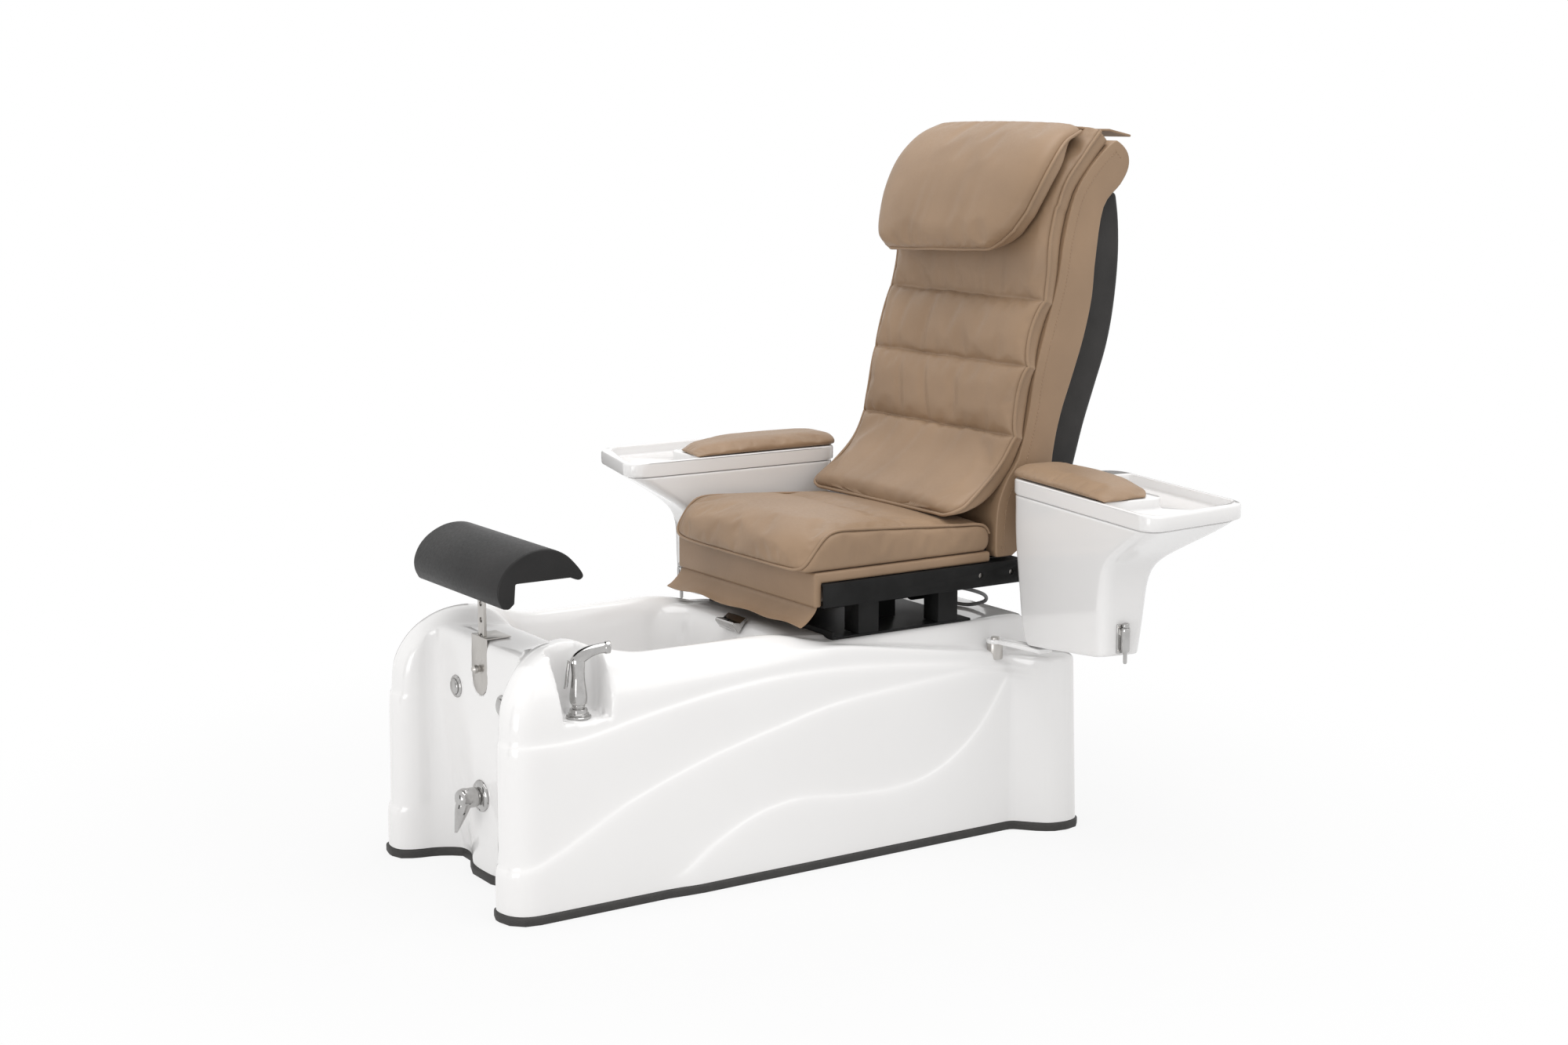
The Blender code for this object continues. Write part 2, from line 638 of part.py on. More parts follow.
SPOUT = [(0.004, 2 * GAP), (0.040, 2 * GAP), (0.040, 0.008), (0.034, 0.026), (0.028, 0.028), (0.020, 0.012),
         (0.004, 0.006)]
STRAINER = [(0, GAP), (0.032, GAP), (0.030, 0.004), (0.012, 0.006), (0, 0.006)]
PIPE_R = DRAIN_R - 0.002
PIPE_Z = BOARD_T + PIPE_R + 0.004
PIPE = [(0, DRAIN_Y, TUB_FLOOR_Z), (0, DRAIN_Y, TUB_FLOOR_Z - SHELL_T),
        (0, DRAIN_Y, TUB_FLOOR_Z - SHELL_T - 0.03), (0, DRAIN_Y + 0.02, PIPE_Z + 0.02),
        (0, DRAIN_Y + 0.08, PIPE_Z), (0, 0.10, PIPE_Z), (0, 0.30, PIPE_Z)]
PUMP = [(0, 0), (PUMP_R, 0), (PUMP_R, 0.16), (PUMP_R + 0.020, 0.165), (PUMP_R + 0.020, 0.22), (0, 0.22)]
PUMP_AT = (0.12, 0.26, BOARD_T + PUMP_R + 0.030)


def plumbing():
    slope_top = Vector((0, TUB_REAR_Y, TUB_EDGE_Z))
    slope_foot = Vector((0, TUB_REAR_Y - TUB_SLOPE_IN, TUB_SLOPE_Z))
    down = (slope_foot - slope_top).normalized()
    away = Vector((0, down.z, -down.y))
    spots = [slope_top + down * along + away * lift for along, lift in SPOUT]
    spout = prism("waterfall_spout", [(p.y, p.z) for p in spots], "x", -SPOUT_X, SPOUT_X, "chrome")
    bevel(spout, 0.0015, 1)
    turned("drain_strainer", STRAINER, (0, DRAIN_Y, TUB_FLOOR_Z), "z", "stainless", 20)
    tube("drain_pipe", PIPE, PIPE_R, "grey_plastic", 3)
    pump = turned("circulation_pump", PUMP, PUMP_AT, "y", "black_plastic", 20)
    x, y, z = PUMP_AT
    join(pump, box("pump_foot", (x - 0.05, y + 0.02, BOARD_T + GAP), (x + 0.05, y + 0.14, z - 0.025), None))


# Controls on the front panel. Heights of the turned profiles run into the panel.

ESCUTCHEON = [(STEM_R + BORE_CLEAR, -0.008), (ESCUTCHEON_R - 0.008, -0.008), (ESCUTCHEON_R - 0.001, -0.004),
              (ESCUTCHEON_R, -GAP), (0.0195, -GAP), (0.0195, 0.010), (STEM_R + BORE_CLEAR, 0.010)]
LEVER_HUB = [(0, -0.053), (0.012, -0.052), (0.019, -0.046), (0.020, -0.012), (0.017, -0.0085), (0, -0.0085)]
# The claw of the lever: height, half width, half depth and distance in front of the panel
LEVER_CLAW = [(0.017, 0.012, 0.009, 0.036), (0.004, 0.018, 0.015, 0.036), (-0.014, 0.018, 0.014, 0.040),
              (-0.034, 0.013, 0.010, 0.046), (-0.052, 0.007, 0.006, 0.052), (-0.064, 0.003, 0.003, 0.056)]
STEM_END = 0.045
BEZEL = [(BUTTON_R + BORE_CLEAR, -0.004), (BEZEL_R - 0.003, -0.004), (BEZEL_R, -0.0015), (BEZEL_R, -GAP),
         (BUTTON_R + 0.0022, -GAP), (BUTTON_R + 0.0022, SHELL_T - 0.004),
         (BUTTON_R + BORE_CLEAR, SHELL_T - 0.004)]
BUTTON = [(0, -0.0095), (BUTTON_R - 0.006, -0.009), (BUTTON_R - 0.001, -0.0075), (BUTTON_R, -0.006),
          (BUTTON_R, SHELL_T - 0.006), (0, SHELL_T - 0.006)]


def faucet():
    spot = Vector((0, PANEL_Y, FAUCET_Z))
    turned("faucet_escutcheon", ESCUTCHEON, spot, "y", "chrome", 20)
    valve = rod("mixing_valve", STEM_R, -STEM_END, SHELL_T + 0.012, spot, "y", "brass", 20)
    join(valve, box("valve_body", (-0.055, PANEL_Y + SHELL_T + GAP, FAUCET_Z - 0.028),
                    (0.055, PANEL_Y + SHELL_T + 0.050, FAUCET_Z + 0.028), None))
    hub = turned("faucet_lever", LEVER_HUB, spot, "y", "chrome", 24)
    claw = [oval(spot + Vector((0, -ahead, up)), Vector((width, 0, 0)), Vector((0, depth, 0)), 12)
            for up, width, depth, ahead in LEVER_CLAW]
    join(hub, loft("lever_claw", claw, None))
    cut(hub, rod("lever_bore", STEM_R + BORE_CLEAR, -STEM_END - BORE_CLEAR, 0.01, spot, "y", None, 20))
    carrier("faucet_axis", spot, [hub])


def push_button(name, side):
    spot = (side * BUTTON_X, PANEL_Y, BUTTON_Z)
    turned(f"{name}_button_bezel", BEZEL, spot, "y", "chrome", 20)
    carrier(f"{name}_button_axis", spot, [turned(f"{name}_button", BUTTON, spot, "y", "chrome", 20)])


# Hand sprayer: turned grip, bent head as (reach, rise, radius) and trigger as (rise, half depth, reach)

SPRAYER_LEAN = Vector((0.30, 0.954, 0))
SPRAYER_SIDE = Vector((0.954, -0.30, 0))
HOLDER = [(SPRAYER_R + BORE_CLEAR, GAP), (0.024, GAP), (0.024, 0.004), (0.020, 0.008), (0.017, 0.016),
          (SPRAYER_R + BORE_CLEAR, 0.018)]
GRIP = [(0, 0.002), (SPRAYER_R, 0.002), (SPRAYER_R, 0.022), (0.016, 0.026), (0.0165, 0.045), (0.014, 0.062),
        (0.0125, 0.085), (0.014, 0.108), (0.010, 0.122), (0, 0.124)]
HEAD = [(-0.008, 0.100, 0.010), (0.006, 0.118, 0.0125), (0.024, 0.127, 0.011), (0.042, 0.130, 0.010),
        (0.054, 0.131, 0.012), (0.062, 0.1315, 0.012)]
HEAD_BENDS = 2
HEAD_LEAN = (-0.45, -0.06)
TRIGGER_OUT = 0.0170
TRIGGER_PIVOT = 0.106
TRIGGER_X = 0.005
TRIGGER = [(0.058, 0.002, 0.008), (0.062, 0.0035, 0.006), (0.085, 0.0035, 0.0035),
           (TRIGGER_PIVOT, 0.003, 0.0003), (0.110, 0.002, 0.0015)]


def sprayer():
    spot = Vector((SPRAYER_X, SPRAYER_Y, POCKET_Z))
    turned("sprayer_holder", HOLDER, spot, "z", "chrome", 18)
    grip = turned("hand_sprayer", GRIP, spot, "z", "chrome", 20)
    head = []
    for k, (reach, rise, radius) in enumerate(HEAD):
        lean = HEAD_LEAN[0] if k < HEAD_BENDS else HEAD_LEAN[1]
        up = (SPRAYER_LEAN * lean + Vector((0, 0, 1))).normalized()
        centre = spot + SPRAYER_LEAN * reach + Vector((0, 0, rise))
        head.append(oval(centre, SPRAYER_SIDE * radius, up * radius, 14))
    join(grip, loft("sprayer_head", head, None))
    pull = spot - SPRAYER_LEAN * TRIGGER_OUT
    pulls = []
    for rise, depth, reach in TRIGGER:
        centre = pull - SPRAYER_LEAN * reach + Vector((0, 0, rise))
        pulls.append(oval(centre, SPRAYER_SIDE * TRIGGER_X, SPRAYER_LEAN * depth, 10))
    trigger = loft("sprayer_trigger", pulls, "chrome")
    carrier("sprayer_axis", spot, [grip])
    carrier("trigger_axis", (pull.x, pull.y, POCKET_Z + TRIGGER_PIVOT), [trigger])


# Footrest: the calf pad's section as (y, z), and the clamp bolt's profile from its head to the post

FOOT_SECTION = [
    (-0.602, 0.578), (-0.611, 0.598), (-0.611, 0.621), (-0.598, 0.647), (-0.574, 0.668), (-0.540, 0.682),
    (-0.502, 0.683), (-0.470, 0.670), (-0.447, 0.649), (-0.431, 0.626), (-0.440, 0.617),
    (-0.458, FOOT_UNDER_Z), (-0.468, FOOT_UNDER_Z), (-0.574, FOOT_UNDER_Z), (-0.577, 0.586), (-0.588, 0.576),
]
CLAMP_REACH = FOOT_POST_Y - FOOT_POST_T / 2 - GAP - PLATE_Y
CLAMP = [(0, -0.016), (0.004, -0.016), (0.0075, -0.012), (0.0085, -0.006), (0.0065, -0.004), (0.0065, -GAP),
         (CLAMP_R, -GAP), (CLAMP_R, CLAMP_REACH), (0, CLAMP_REACH)]
POST_FOOT_Z = CLAMP_Z - 0.009


def footrest_bracket():
    half = BRACKET_W / 2
    outline = plate_outline(half, BRACKET_FOOT_Z, TAB_Z + BRACKET_T)
    bracket = prism("footrest_bracket", outline, "y", PLATE_Y, PLATE_Y + BRACKET_T, "stainless")
    join(bracket, box("bracket_tab", (-half, PLATE_Y + 0.001, TAB_Z),
                      (half, FOOT_POST_Y + BRACKET_TAB, TAB_Z + BRACKET_T), None))
    slot_x, slot_y = FOOT_POST_W / 2 + BORE_CLEAR, FOOT_POST_T / 2 + BORE_CLEAR
    cut(bracket, box("post_slot", (-slot_x, FOOT_POST_Y - slot_y, TAB_Z - 0.01),
                     (slot_x, FOOT_POST_Y + slot_y, TAB_Z + 0.02), None))
    cut(bracket, rod("clamp_hole", CLAMP_R + BORE_CLEAR, -0.02, 0.02, (0, PLATE_Y, CLAMP_Z), "y", None, 12))


def footrest():
    footrest_bracket()
    pad = prism("footrest_pad", FOOT_SECTION, "x", -FOOT_W / 2, FOOT_W / 2, "black_vinyl")
    bevel(pad, 0.003, 2, 50)
    half_t = FOOT_POST_T / 2
    post = box("footrest_post", (-FOOT_POST_W / 2, FOOT_POST_Y - half_t, POST_FOOT_Z),
               (FOOT_POST_W / 2, FOOT_POST_Y + half_t, FOOT_UNDER_Z - GAP), "stainless")
    for k in range(POST_HOLES):
        cut(post, rod(f"post_hole_{k}", POST_HOLE_R, -0.02, 0.02,
                      (0, FOOT_POST_Y, CLAMP_Z + POST_HOLE_STEP * k), "y", None, 12))
    bolt = turned("footrest_clamp_bolt", CLAMP, (0, PLATE_Y, CLAMP_Z), "y", "stainless", 16)
    carrier("footrest_axis", (0, FOOT_POST_Y, TAB_Z), [post, pad])
    carrier("clamp_axis", (0, PLATE_Y, CLAMP_Z), [bolt])


# Slide of the seat: pan, rails on posts, actuator and its cable

CABLE = [
    (SLIDE_X, SLIDE_Y + SLIDE_L + 2 * GAP, SLIDE_Z), (SLIDE_X, 0.450, SLIDE_Z),
    (SLIDE_X + 0.030, 0.500, SLIDE_Z - 0.008), (SLIDE_X + 0.052, 0.538, SLIDE_Z - 0.022),
    (SLIDE_X + 0.040, 0.552, SLIDE_Z - 0.040),
    (SLIDE_X + 0.010, 0.535, DECK_Z + 0.0060), (SLIDE_X - 0.030, 0.520, DECK_Z + CABLE_R + 0.0005),
]


def deck_pan():
    front = RAIL_FRONT_Y + 0.045
    pan = box("deck_pan", (-PAN_X, front, PAN_Z), (PAN_X, PAN_REAR_Y, PAN_TOP), "black_metal")
    join(pan, box("pan_lip", (-PAN_X, front, PAN_Z), (PAN_X, front + RAIL_T, PAN_Z + LIP_UP), None))


def rail_frame(name, side):
    """A channel rail that opens inwards, on two posts."""
    outer, inner, web = SEAT_X, SEAT_X - RAIL_DEPTH, SEAT_X - RAIL_T
    channel = [(outer, RAIL_Z), (outer, RAIL_TOP), (inner, RAIL_TOP), (inner, RAIL_TOP - RAIL_T),
               (web, RAIL_TOP - RAIL_T), (web, RAIL_Z + RAIL_T), (inner, RAIL_Z + RAIL_T), (inner, RAIL_Z)]
    rail = prism(f"{name}_rail_frame", [(side * x, z) for x, z in channel], "y",
                 RAIL_FRONT_Y, RAIL_REAR_Y, "black_metal")
    low_x, high_x = sorted((side * (PAN_X - POST_W), side * PAN_X))
    for k, y in enumerate(POST_Y):
        join(rail, box(f"{name}_post_{k}", (low_x, y - POST_W / 2, PAN_TOP + GAP),
                       (high_x, y + POST_W / 2, RAIL_Z + RAIL_T / 2), None))
    for k, y in enumerate(RAIL_HOLE_Y):
        cut(rail, rod(f"{name}_rail_hole_{k}", RAIL_HOLE_R, -0.02, 0.02,
                      (side * SEAT_X, y, RAIL_Z + RAIL_H / 2), "x", None, 12))


def slide_actuator():
    """The cylinder that stands on the pan, and its rod with the lug that moves the seat."""
    bore = SLIDE_ROD_R + BORE_CLEAR
    spot = (SLIDE_X, SLIDE_Y, SLIDE_Z)
    profile = [(bore, 0), (SLIDE_BODY_R, 0), (SLIDE_BODY_R, SLIDE_BODY_L),
               (SLIDE_MOTOR_R, SLIDE_BODY_L + 0.004), (SLIDE_MOTOR_R, SLIDE_L),
               (0, SLIDE_L), (0, SLIDE_BORE_L), (bore, SLIDE_BORE_L)]
    body = turned("slide_actuator_body", profile, spot, "y", "black_metal", 20)
    join(body, box("slide_actuator_foot", (SLIDE_X - 0.014, SLIDE_Y + 0.095, PAN_TOP + GAP),
                   (SLIDE_X + 0.014, SLIDE_Y + 0.175, SLIDE_Z - 0.012), None))
    lug_y = RAIL_FRONT_Y + 0.004
    slide_rod = rod("slide_actuator_rod", SLIDE_ROD_R, lug_y + 0.011 - SLIDE_Y, 0.13, spot, "y",
                    "stainless", 16)
    join(slide_rod, box("slide_lug", (SLIDE_X - 0.012, lug_y, SLIDE_Z - 0.014),
                        (SLIDE_X + 0.012, lug_y + 0.018, SEAT_PANEL_Z - GAP), None))
    tube("actuator_cable", CABLE, CABLE_R, "grey_plastic", 4)
    return slide_rod


# Soft sections: how square their sides and faces are, as powers of a circle's

SIDE_SQUARE = 0.30
FACE_SQUARE = 0.55


def section_ring(half_width, low, high, crown, wrap, place_point, points=24):
    """A cushion section: a rounded box in (across, up) whose top swells by the crown at its middle
    and falls away by the wrap at its sides."""
    ring = []
    middle, reach = (low + high) / 2, (high - low) / 2
    for k in range(points):
        a = math.tau * (k + 0.5) / points
        c, s = math.cos(a), math.sin(a)
        across = half_width * math.copysign(abs(c) ** SIDE_SQUARE, c)
        up = middle + reach * math.copysign(abs(s) ** FACE_SQUARE, s)
        if s > 0:
            share = across / half_width
            up += min(s * 2, 1.0) * (crown * (1 - share ** 2) - wrap * share ** 4)
        ring.append(place_point(across, up))
    return ring


# The seat cushion's nose, as (distance behind the front edge, share of the thickness): where it is full, and
# where the piping pinches it at the sides

NOSE_FULL = [(0.030, 0.0), (0.007, 0.02), (0.0, 0.22), (0.004, 0.50), (0.020, 0.77), (0.048, 0.95),
             (0.092, 1.0)]
NOSE_SIDE = [(0.034, 0.0), (0.018, 0.02), (0.022, 0.16), (0.036, 0.42), (0.056, 0.70), (0.078, 0.90),
             (0.110, 0.97)]
SEAT_REAR = [(0.030, 1.0), (0.008, 0.92), (0.0, 0.62), (0.0, 0.22), (0.010, 0.0)]
CUSHION_RINGS = 13


def seat_cushion():
    """The waterfall cushion, lofted across the seat: crowned along its middle and pinched at its sides."""
    seam_x = SEAT_X - SEAM_IN
    length = SEAT_REAR_Y - SEAT_FRONT_Y
    places = [seam_x * (2 * k / (CUSHION_RINGS - 1) - 1) for k in range(CUSHION_RINGS)]
    rings = []
    for x in [-SEAT_X] + places + [SEAT_X]:
        full = 1 - min(abs(x) / seam_x, 1.0) ** 2.5
        nose = [(SEAT_FRONT_Y + b + (a - b) * full, c + (d - c) * full)
                for (a, d), (b, c) in zip(NOSE_FULL, NOSE_SIDE)]
        middle = [(SEAT_FRONT_Y + length * t, 0.96 + 0.04 * full) for t in (0.38, 0.58, 0.78)]
        rear = [(SEAT_REAR_Y - a, c) for a, c in SEAT_REAR]
        draw_in = SEAM_IN * 0.6 if abs(x) > seam_x else 0.0
        ring = []
        for y, share in nose + middle + rear:
            height = CUSHION_T * share + SEAT_CROWN * full * ease(0.7, 1.0, share)
            inward = math.copysign(draw_in, SEAT_FRONT_Y + length * 0.4 - y)
            ring.append((x, y + inward, SEAT_Z + height + draw_in * (1 - 2 * share)))
        rings.append(ring)
    return loft("seat_cushion", rings, "tan_leather")


APRON_Y = RAIL_FRONT_Y - 0.004 - APRON_T
APRON_Z = RAIL_Z + SLIDE_CLEAR
HANG_Y = APRON_Y + APRON_T / 2
# The flap under the apron, as (distance in front of where it hangs, height)
FLAP = [(-SKIRT_T, APRON_Z - GAP), (0, APRON_Z - GAP), (0.010, APRON_Z - 0.012), (0.026, FLAP_Z + 0.010),
        (0.040, FLAP_Z + 0.002), (0.039, FLAP_Z - 0.002), (0.024, FLAP_Z + 0.006), (0.006, APRON_Z - 0.014)]


def seat_panel():
    """The padded panel under the cushion with its front apron, and the loose flap that hangs from it."""
    top = SEAT_PANEL_Z + PANEL_T
    outline = [(SEAT_REAR_Y, SEAT_PANEL_Z), (SEAT_REAR_Y, top), (APRON_Y, top), (APRON_Y, APRON_Z),
               (APRON_Y + APRON_T, APRON_Z), (APRON_Y + APRON_T, SEAT_PANEL_Z)]
    panel = bevel(prism("seat_base_panel", outline, "x", -SEAT_X, SEAT_X, "tan_leather"), 0.006, 2)
    flap_x = SEAT_X - SKIRT_T
    hanging = [(HANG_Y - ahead, z) for ahead, z in FLAP]
    flap = prism("seat_skirt", hanging, "x", -flap_x, flap_x, "tan_leather")
    return [panel, flap]


def slider(name, side):
    """A guide that runs in the rail and carries the seat's panel."""
    outer, inner = SEAT_X - RAIL_T - SLIDE_CLEAR, SLIDER_X
    low, lip, top = RAIL_Z + RAIL_T + GAP, RAIL_TOP - RAIL_T - GAP, SEAT_PANEL_Z - GAP
    section = [(outer, low), (outer, lip), (inner, lip), (inner, top), (inner - SLIDER_T, top),
               (inner - SLIDER_T, low)]
    return prism(f"{name}_slider", [(side * x, z) for x, z in section], "y",
                 RAIL_FRONT_Y + 0.02, RAIL_REAR_Y - 0.01, "stainless")


def back_hinge(name, side):
    """A cheek on the slider with the bore that the back frame turns in."""
    turns = [math.pi * k / 8 for k in range(9)]
    cheek = [(HINGE_Y - 0.045, SEAT_PANEL_Z), (HINGE_Y + 0.018, SEAT_PANEL_Z)]
    cheek += [(HINGE_Y + HINGE_CHEEK_R * math.cos(a), HINGE_Z + HINGE_CHEEK_R * math.sin(a)) for a in turns]
    low, high = sorted((side * SLIDER_X, side * (SLIDER_X - SLIDER_T)))
    hinge = prism(f"{name}_back_hinge", cheek, "x", low, high, "black_metal")
    return cut(hinge, rod(f"{name}_hinge_bore", HINGE_PIN_R + BORE_CLEAR, -0.05, 0.05,
                          (side * SLIDER_X, HINGE_Y, HINGE_Z), "x", None, 20))


def recline_actuator():
    bore = ROD_R + BORE_CLEAR
    profile = [(0, 0), (RECLINE_MOTOR_R, 0), (RECLINE_MOTOR_R, RECLINE_MOTOR_L),
               (RECLINE_BODY_R, RECLINE_MOTOR_L + 0.005), (RECLINE_BODY_R, RECLINE_L), (bore, RECLINE_L),
               (bore, RECLINE_MOTOR_L), (0, RECLINE_MOTOR_L)]
    body = turned("recline_actuator_body", profile, (0, RECLINE_Y, RECLINE_Z), "y", "black_metal", 20)
    return join(body, box("recline_hanger", (-0.014, RECLINE_Y + 0.005, RECLINE_Z + 0.015),
                          (0.014, RECLINE_Y + 0.045, SEAT_PANEL_Z - GAP), None))


def recline_rod():
    """The rod with its fork, which straddles the back frame's lever."""
    fork_y = HINGE_Y - 0.045
    rod_y = RECLINE_Y + 0.155
    bar = rod("recline_actuator_rod", ROD_R, 0, fork_y + 0.005 - rod_y, (0, rod_y, RECLINE_Z), "y",
              "stainless", 16)
    fork = box("rod_fork", (-0.010, fork_y, RECLINE_Z - 0.013),
               (0.010, HINGE_Y + 0.030, RECLINE_Z + 0.013), None)
    cut(fork, box("fork_slot", (-0.0048, fork_y + 0.015, RECLINE_Z - 0.03),
                  (0.0048, HINGE_Y + 0.05, RECLINE_Z + 0.03), None))
    return join(bar, fork)


# Backrest: its side outline as (y, z) stations

BODY_FRONT = [(0.505, 0.575), (0.497, 0.582), (0.497, 0.640), (0.503, 0.690), (0.523, 0.735), (0.553, 0.780),
              (0.578, 0.865), (0.594, 0.955), (0.621, 1.047), (0.650, 1.142), (0.666, 1.232), (0.692, 1.318),
              (0.735, 1.378)]
BODY_TOP = [(0.790, 1.425), (0.812, 1.424), (0.834, 1.402), (0.836, 1.372), (0.815, 1.338)]
BODY_REAR = [(0.770, 1.291), (0.751, 1.185), (0.743, 1.104), (0.723, 1.023), (0.694, 0.942), (0.664, 0.862),
             (0.645, 0.780), (0.625, 0.625), (0.575, 0.597), (0.540, 0.575)]
SHELL_TOP = (0.775, 1.300)
SHELL_FOOT = (0.640, 0.655)
SHELL_REAR = [(0.688, 0.655), (0.722, 0.720), (0.756, 0.830), (0.786, 0.912), (0.816, 0.995), (0.834, 1.078),
              (0.844, 1.178), (0.842, 1.260), (0.832, 1.325)]
# Front of the overlay cushion at its middle, bottom to top, and where its channels are sewn
OVERLAY = [(0.396, 0.682), (0.456, 0.718), (0.514, 0.778), (0.545, 0.870), (0.562, 0.960), (0.590, 1.055),
           (0.620, 1.150), (0.634, 1.240), (0.664, 1.335), (0.715, 1.400), (0.762, 1.452)]
SEAMS = (0.0, 0.215, 0.40, 0.585, 1.0)
SWELL = 0.010
PILLOW = [(0.552, 1.176), (0.566, 1.240), (0.588, 1.312), (0.622, 1.378), (0.668, 1.430), (0.720, 1.456)]
PILLOW_T = 0.036
PILLOW_PUFF = 0.020
PILLOW_CROWN = 0.012
PILLOW_WRAP = 0.008
STRAP = [(0.7190, 1.4590), (0.770, 1.4525), (0.815, 1.4525), (0.875, 1.4400), (0.874, 1.4350),
         (0.815, 1.4475), (0.770, 1.4475), (0.7215, 1.4535)]


def frames(stations):
    """Along a line of (y, z) stations: the share of the way, the spot and the direction out of the front."""
    path = smooth_path([(0, y, z) for y, z in stations], 4)
    count = len(path) - 1
    for k, spot in enumerate(path):
        along = (path[min(k + 1, count)] - path[max(k - 1, 0)]).normalized()
        yield k / count, spot, Vector((0, -along.z, along.y))


def placer(spot, out):
    """Puts a section's (across, up) point on a frame."""
    return lambda x, up: spot + out * up + Vector((x, 0, 0))


def overlay():
    """The long cushion over the back, sewn into four channels and narrower at each seam."""
    rings = []
    for t, spot, out in frames(OVERLAY):
        panel = next(n for n in range(len(SEAMS) - 1) if t <= SEAMS[n + 1])
        local = (t - SEAMS[panel]) / (SEAMS[panel + 1] - SEAMS[panel])
        swell = math.sqrt(math.sin(math.pi * min(max(local, 0.03), 0.97)))
        corner = 0.90 + 0.10 * math.sqrt(ease(0, 0.06, t))
        half = BACK_W / 2 * (1.0 - 0.06 * t) * (0.975 + 0.025 * swell) * corner
        high = OVERLAY_T * 0.30 * (swell - 1)
        low = min(-OVERLAY_T * 0.585 * ease(-0.03, 0.12, t), high - 0.2 * OVERLAY_T)
        rings.append(section_ring(half, low, high, SWELL * swell, SWELL * swell, placer(spot, out), 18))
    return loft("back_overlay", rings, "tan_leather")


def pillow():
    """The head cushion's flap: rounded at its lower corners and thin where it passes over the top."""
    rings = []
    for t, spot, out in frames(PILLOW):
        swell = math.sqrt(math.sin(math.pi * (0.04 + 0.80 * t)))
        narrow = 0.20 * ease(0.55, 1.0, t) + 0.30 * (1 - math.sqrt(ease(0, 0.30, t)))
        low = -0.006 - PILLOW_T * swell * (1 - ease(0.55, 1.0, t))
        high = PILLOW_PUFF * swell - 0.002
        half = BACK_W / 2 * (0.97 - narrow)
        crown, wrap = PILLOW_CROWN * swell, PILLOW_WRAP * swell
        rings.append(section_ring(half, low, high, crown, wrap, placer(spot, out), 20))
    return loft("head_pillow", rings, "tan_leather")


def back_body():
    outline = BODY_FRONT + BODY_TOP + BODY_REAR
    body = bevel(prism("back_body", outline, "x", -BACK_W / 2, BACK_W / 2, "tan_leather"), 0.014, 3, 60)
    wing = HINGE_PIN_X + 0.002
    return cut(body, box("hinge_notch", (-wing, HINGE_Y - 0.14, HINGE_Z - 0.09),
                         (wing, HINGE_Y + 0.21, BACK_PLATE_Z), None))


def back_shell():
    front = [(y + 3 * GAP, z) for y, z in BODY_REAR[1:7]]
    line = [SHELL_TOP] + front + [SHELL_FOOT] + SHELL_REAR
    return bevel(prism("back_shell", line, "x", -SHELL_W / 2, SHELL_W / 2, "black_plastic"), 0.012, 2, 50)


def back_frame():
    """The hinge tube with its pins, the plate that carries the back and the lever that the rod pulls."""
    tube_x = HINGE_PIN_X - 0.020
    profile = [(0, -HINGE_PIN_X), (HINGE_PIN_R, -HINGE_PIN_X), (HINGE_PIN_R, -tube_x),
               (HINGE_TUBE_R, -tube_x), (HINGE_TUBE_R, tube_x), (HINGE_PIN_R, tube_x),
               (HINGE_PIN_R, HINGE_PIN_X), (0, HINGE_PIN_X)]
    frame = turned("back_frame", profile, (0, HINGE_Y, HINGE_Z), "x", "black_metal", 20)
    join(frame, box("back_plate", (-BACK_PLATE_X, HINGE_Y - 0.010, HINGE_Z),
                    (BACK_PLATE_X, HINGE_Y + 0.080, BACK_PLATE_Z - GAP), None))
    lever_z = RECLINE_Z - 0.008
    lever = [(HINGE_Y - 0.012, HINGE_Z), (HINGE_Y - 0.010, lever_z), (HINGE_Y + 0.010, lever_z),
             (HINGE_Y + 0.012, HINGE_Z)]
    return join(frame, prism("back_lever", lever, "x", -0.004, 0.004, None))


def strap():
    """The tab of the pillow's flap that reaches over the top of the backrest."""
    half = BACK_W / 2 - STRAP_IN
    return prism("pillow_strap", STRAP, "x", -half, half, "tan_leather")


# Arms, modelled closed on the right side and mirrored for the left. In plan, a runs forward from the arm's
# rear end and b outward from its inner face.

# The console's levels: rear end, front at the inner face, front at the outer face, width, corner and height
CONSOLE_LEVELS = [
    (0.036, LEG_FRONT_A, LEG_FRONT_A, 0.108, 0.026, 0.535),
    (0.022, LEG_FRONT_A + 0.010, LEG_FRONT_A - 0.012, 0.122, 0.028, 0.612),
    (0.015, 0.400, 0.372, 0.170, 0.034, 0.642), (0.010, 0.446, 0.405, 0.206, 0.040, 0.668),
    (0.006, 0.490, 0.437, 0.240, 0.046, 0.694),
    (0.004, ARM_L - 0.006, ARM_L - ARM_SLANT - 0.006, ARM_W - 0.006, ARM_CORNER, CONSOLE_TOP - GAP),
]
CONSOLE_FOOT_A = 0.12
PLINTH_A = ARM_PAD_L - 0.015
PLINTH_B = ARM_PAD_W + 0.004
TRAY_HOLLOW = [
    (0.05, ARM_W - LIP_T), (0.05, PLINTH_B), (PLINTH_A - 0.02, PLINTH_B), (PLINTH_A, PLINTH_B - 0.02),
    (PLINTH_A, LIP_T), (ARM_L - 0.040, LIP_T), (ARM_L - 0.018, 0.030),
    (ARM_L - ARM_SLANT - 0.014, ARM_W - 0.040), (ARM_L - ARM_SLANT - 0.040, ARM_W - LIP_T),
]
PAD_BACK = 0.016
PAD_RINGS = 16


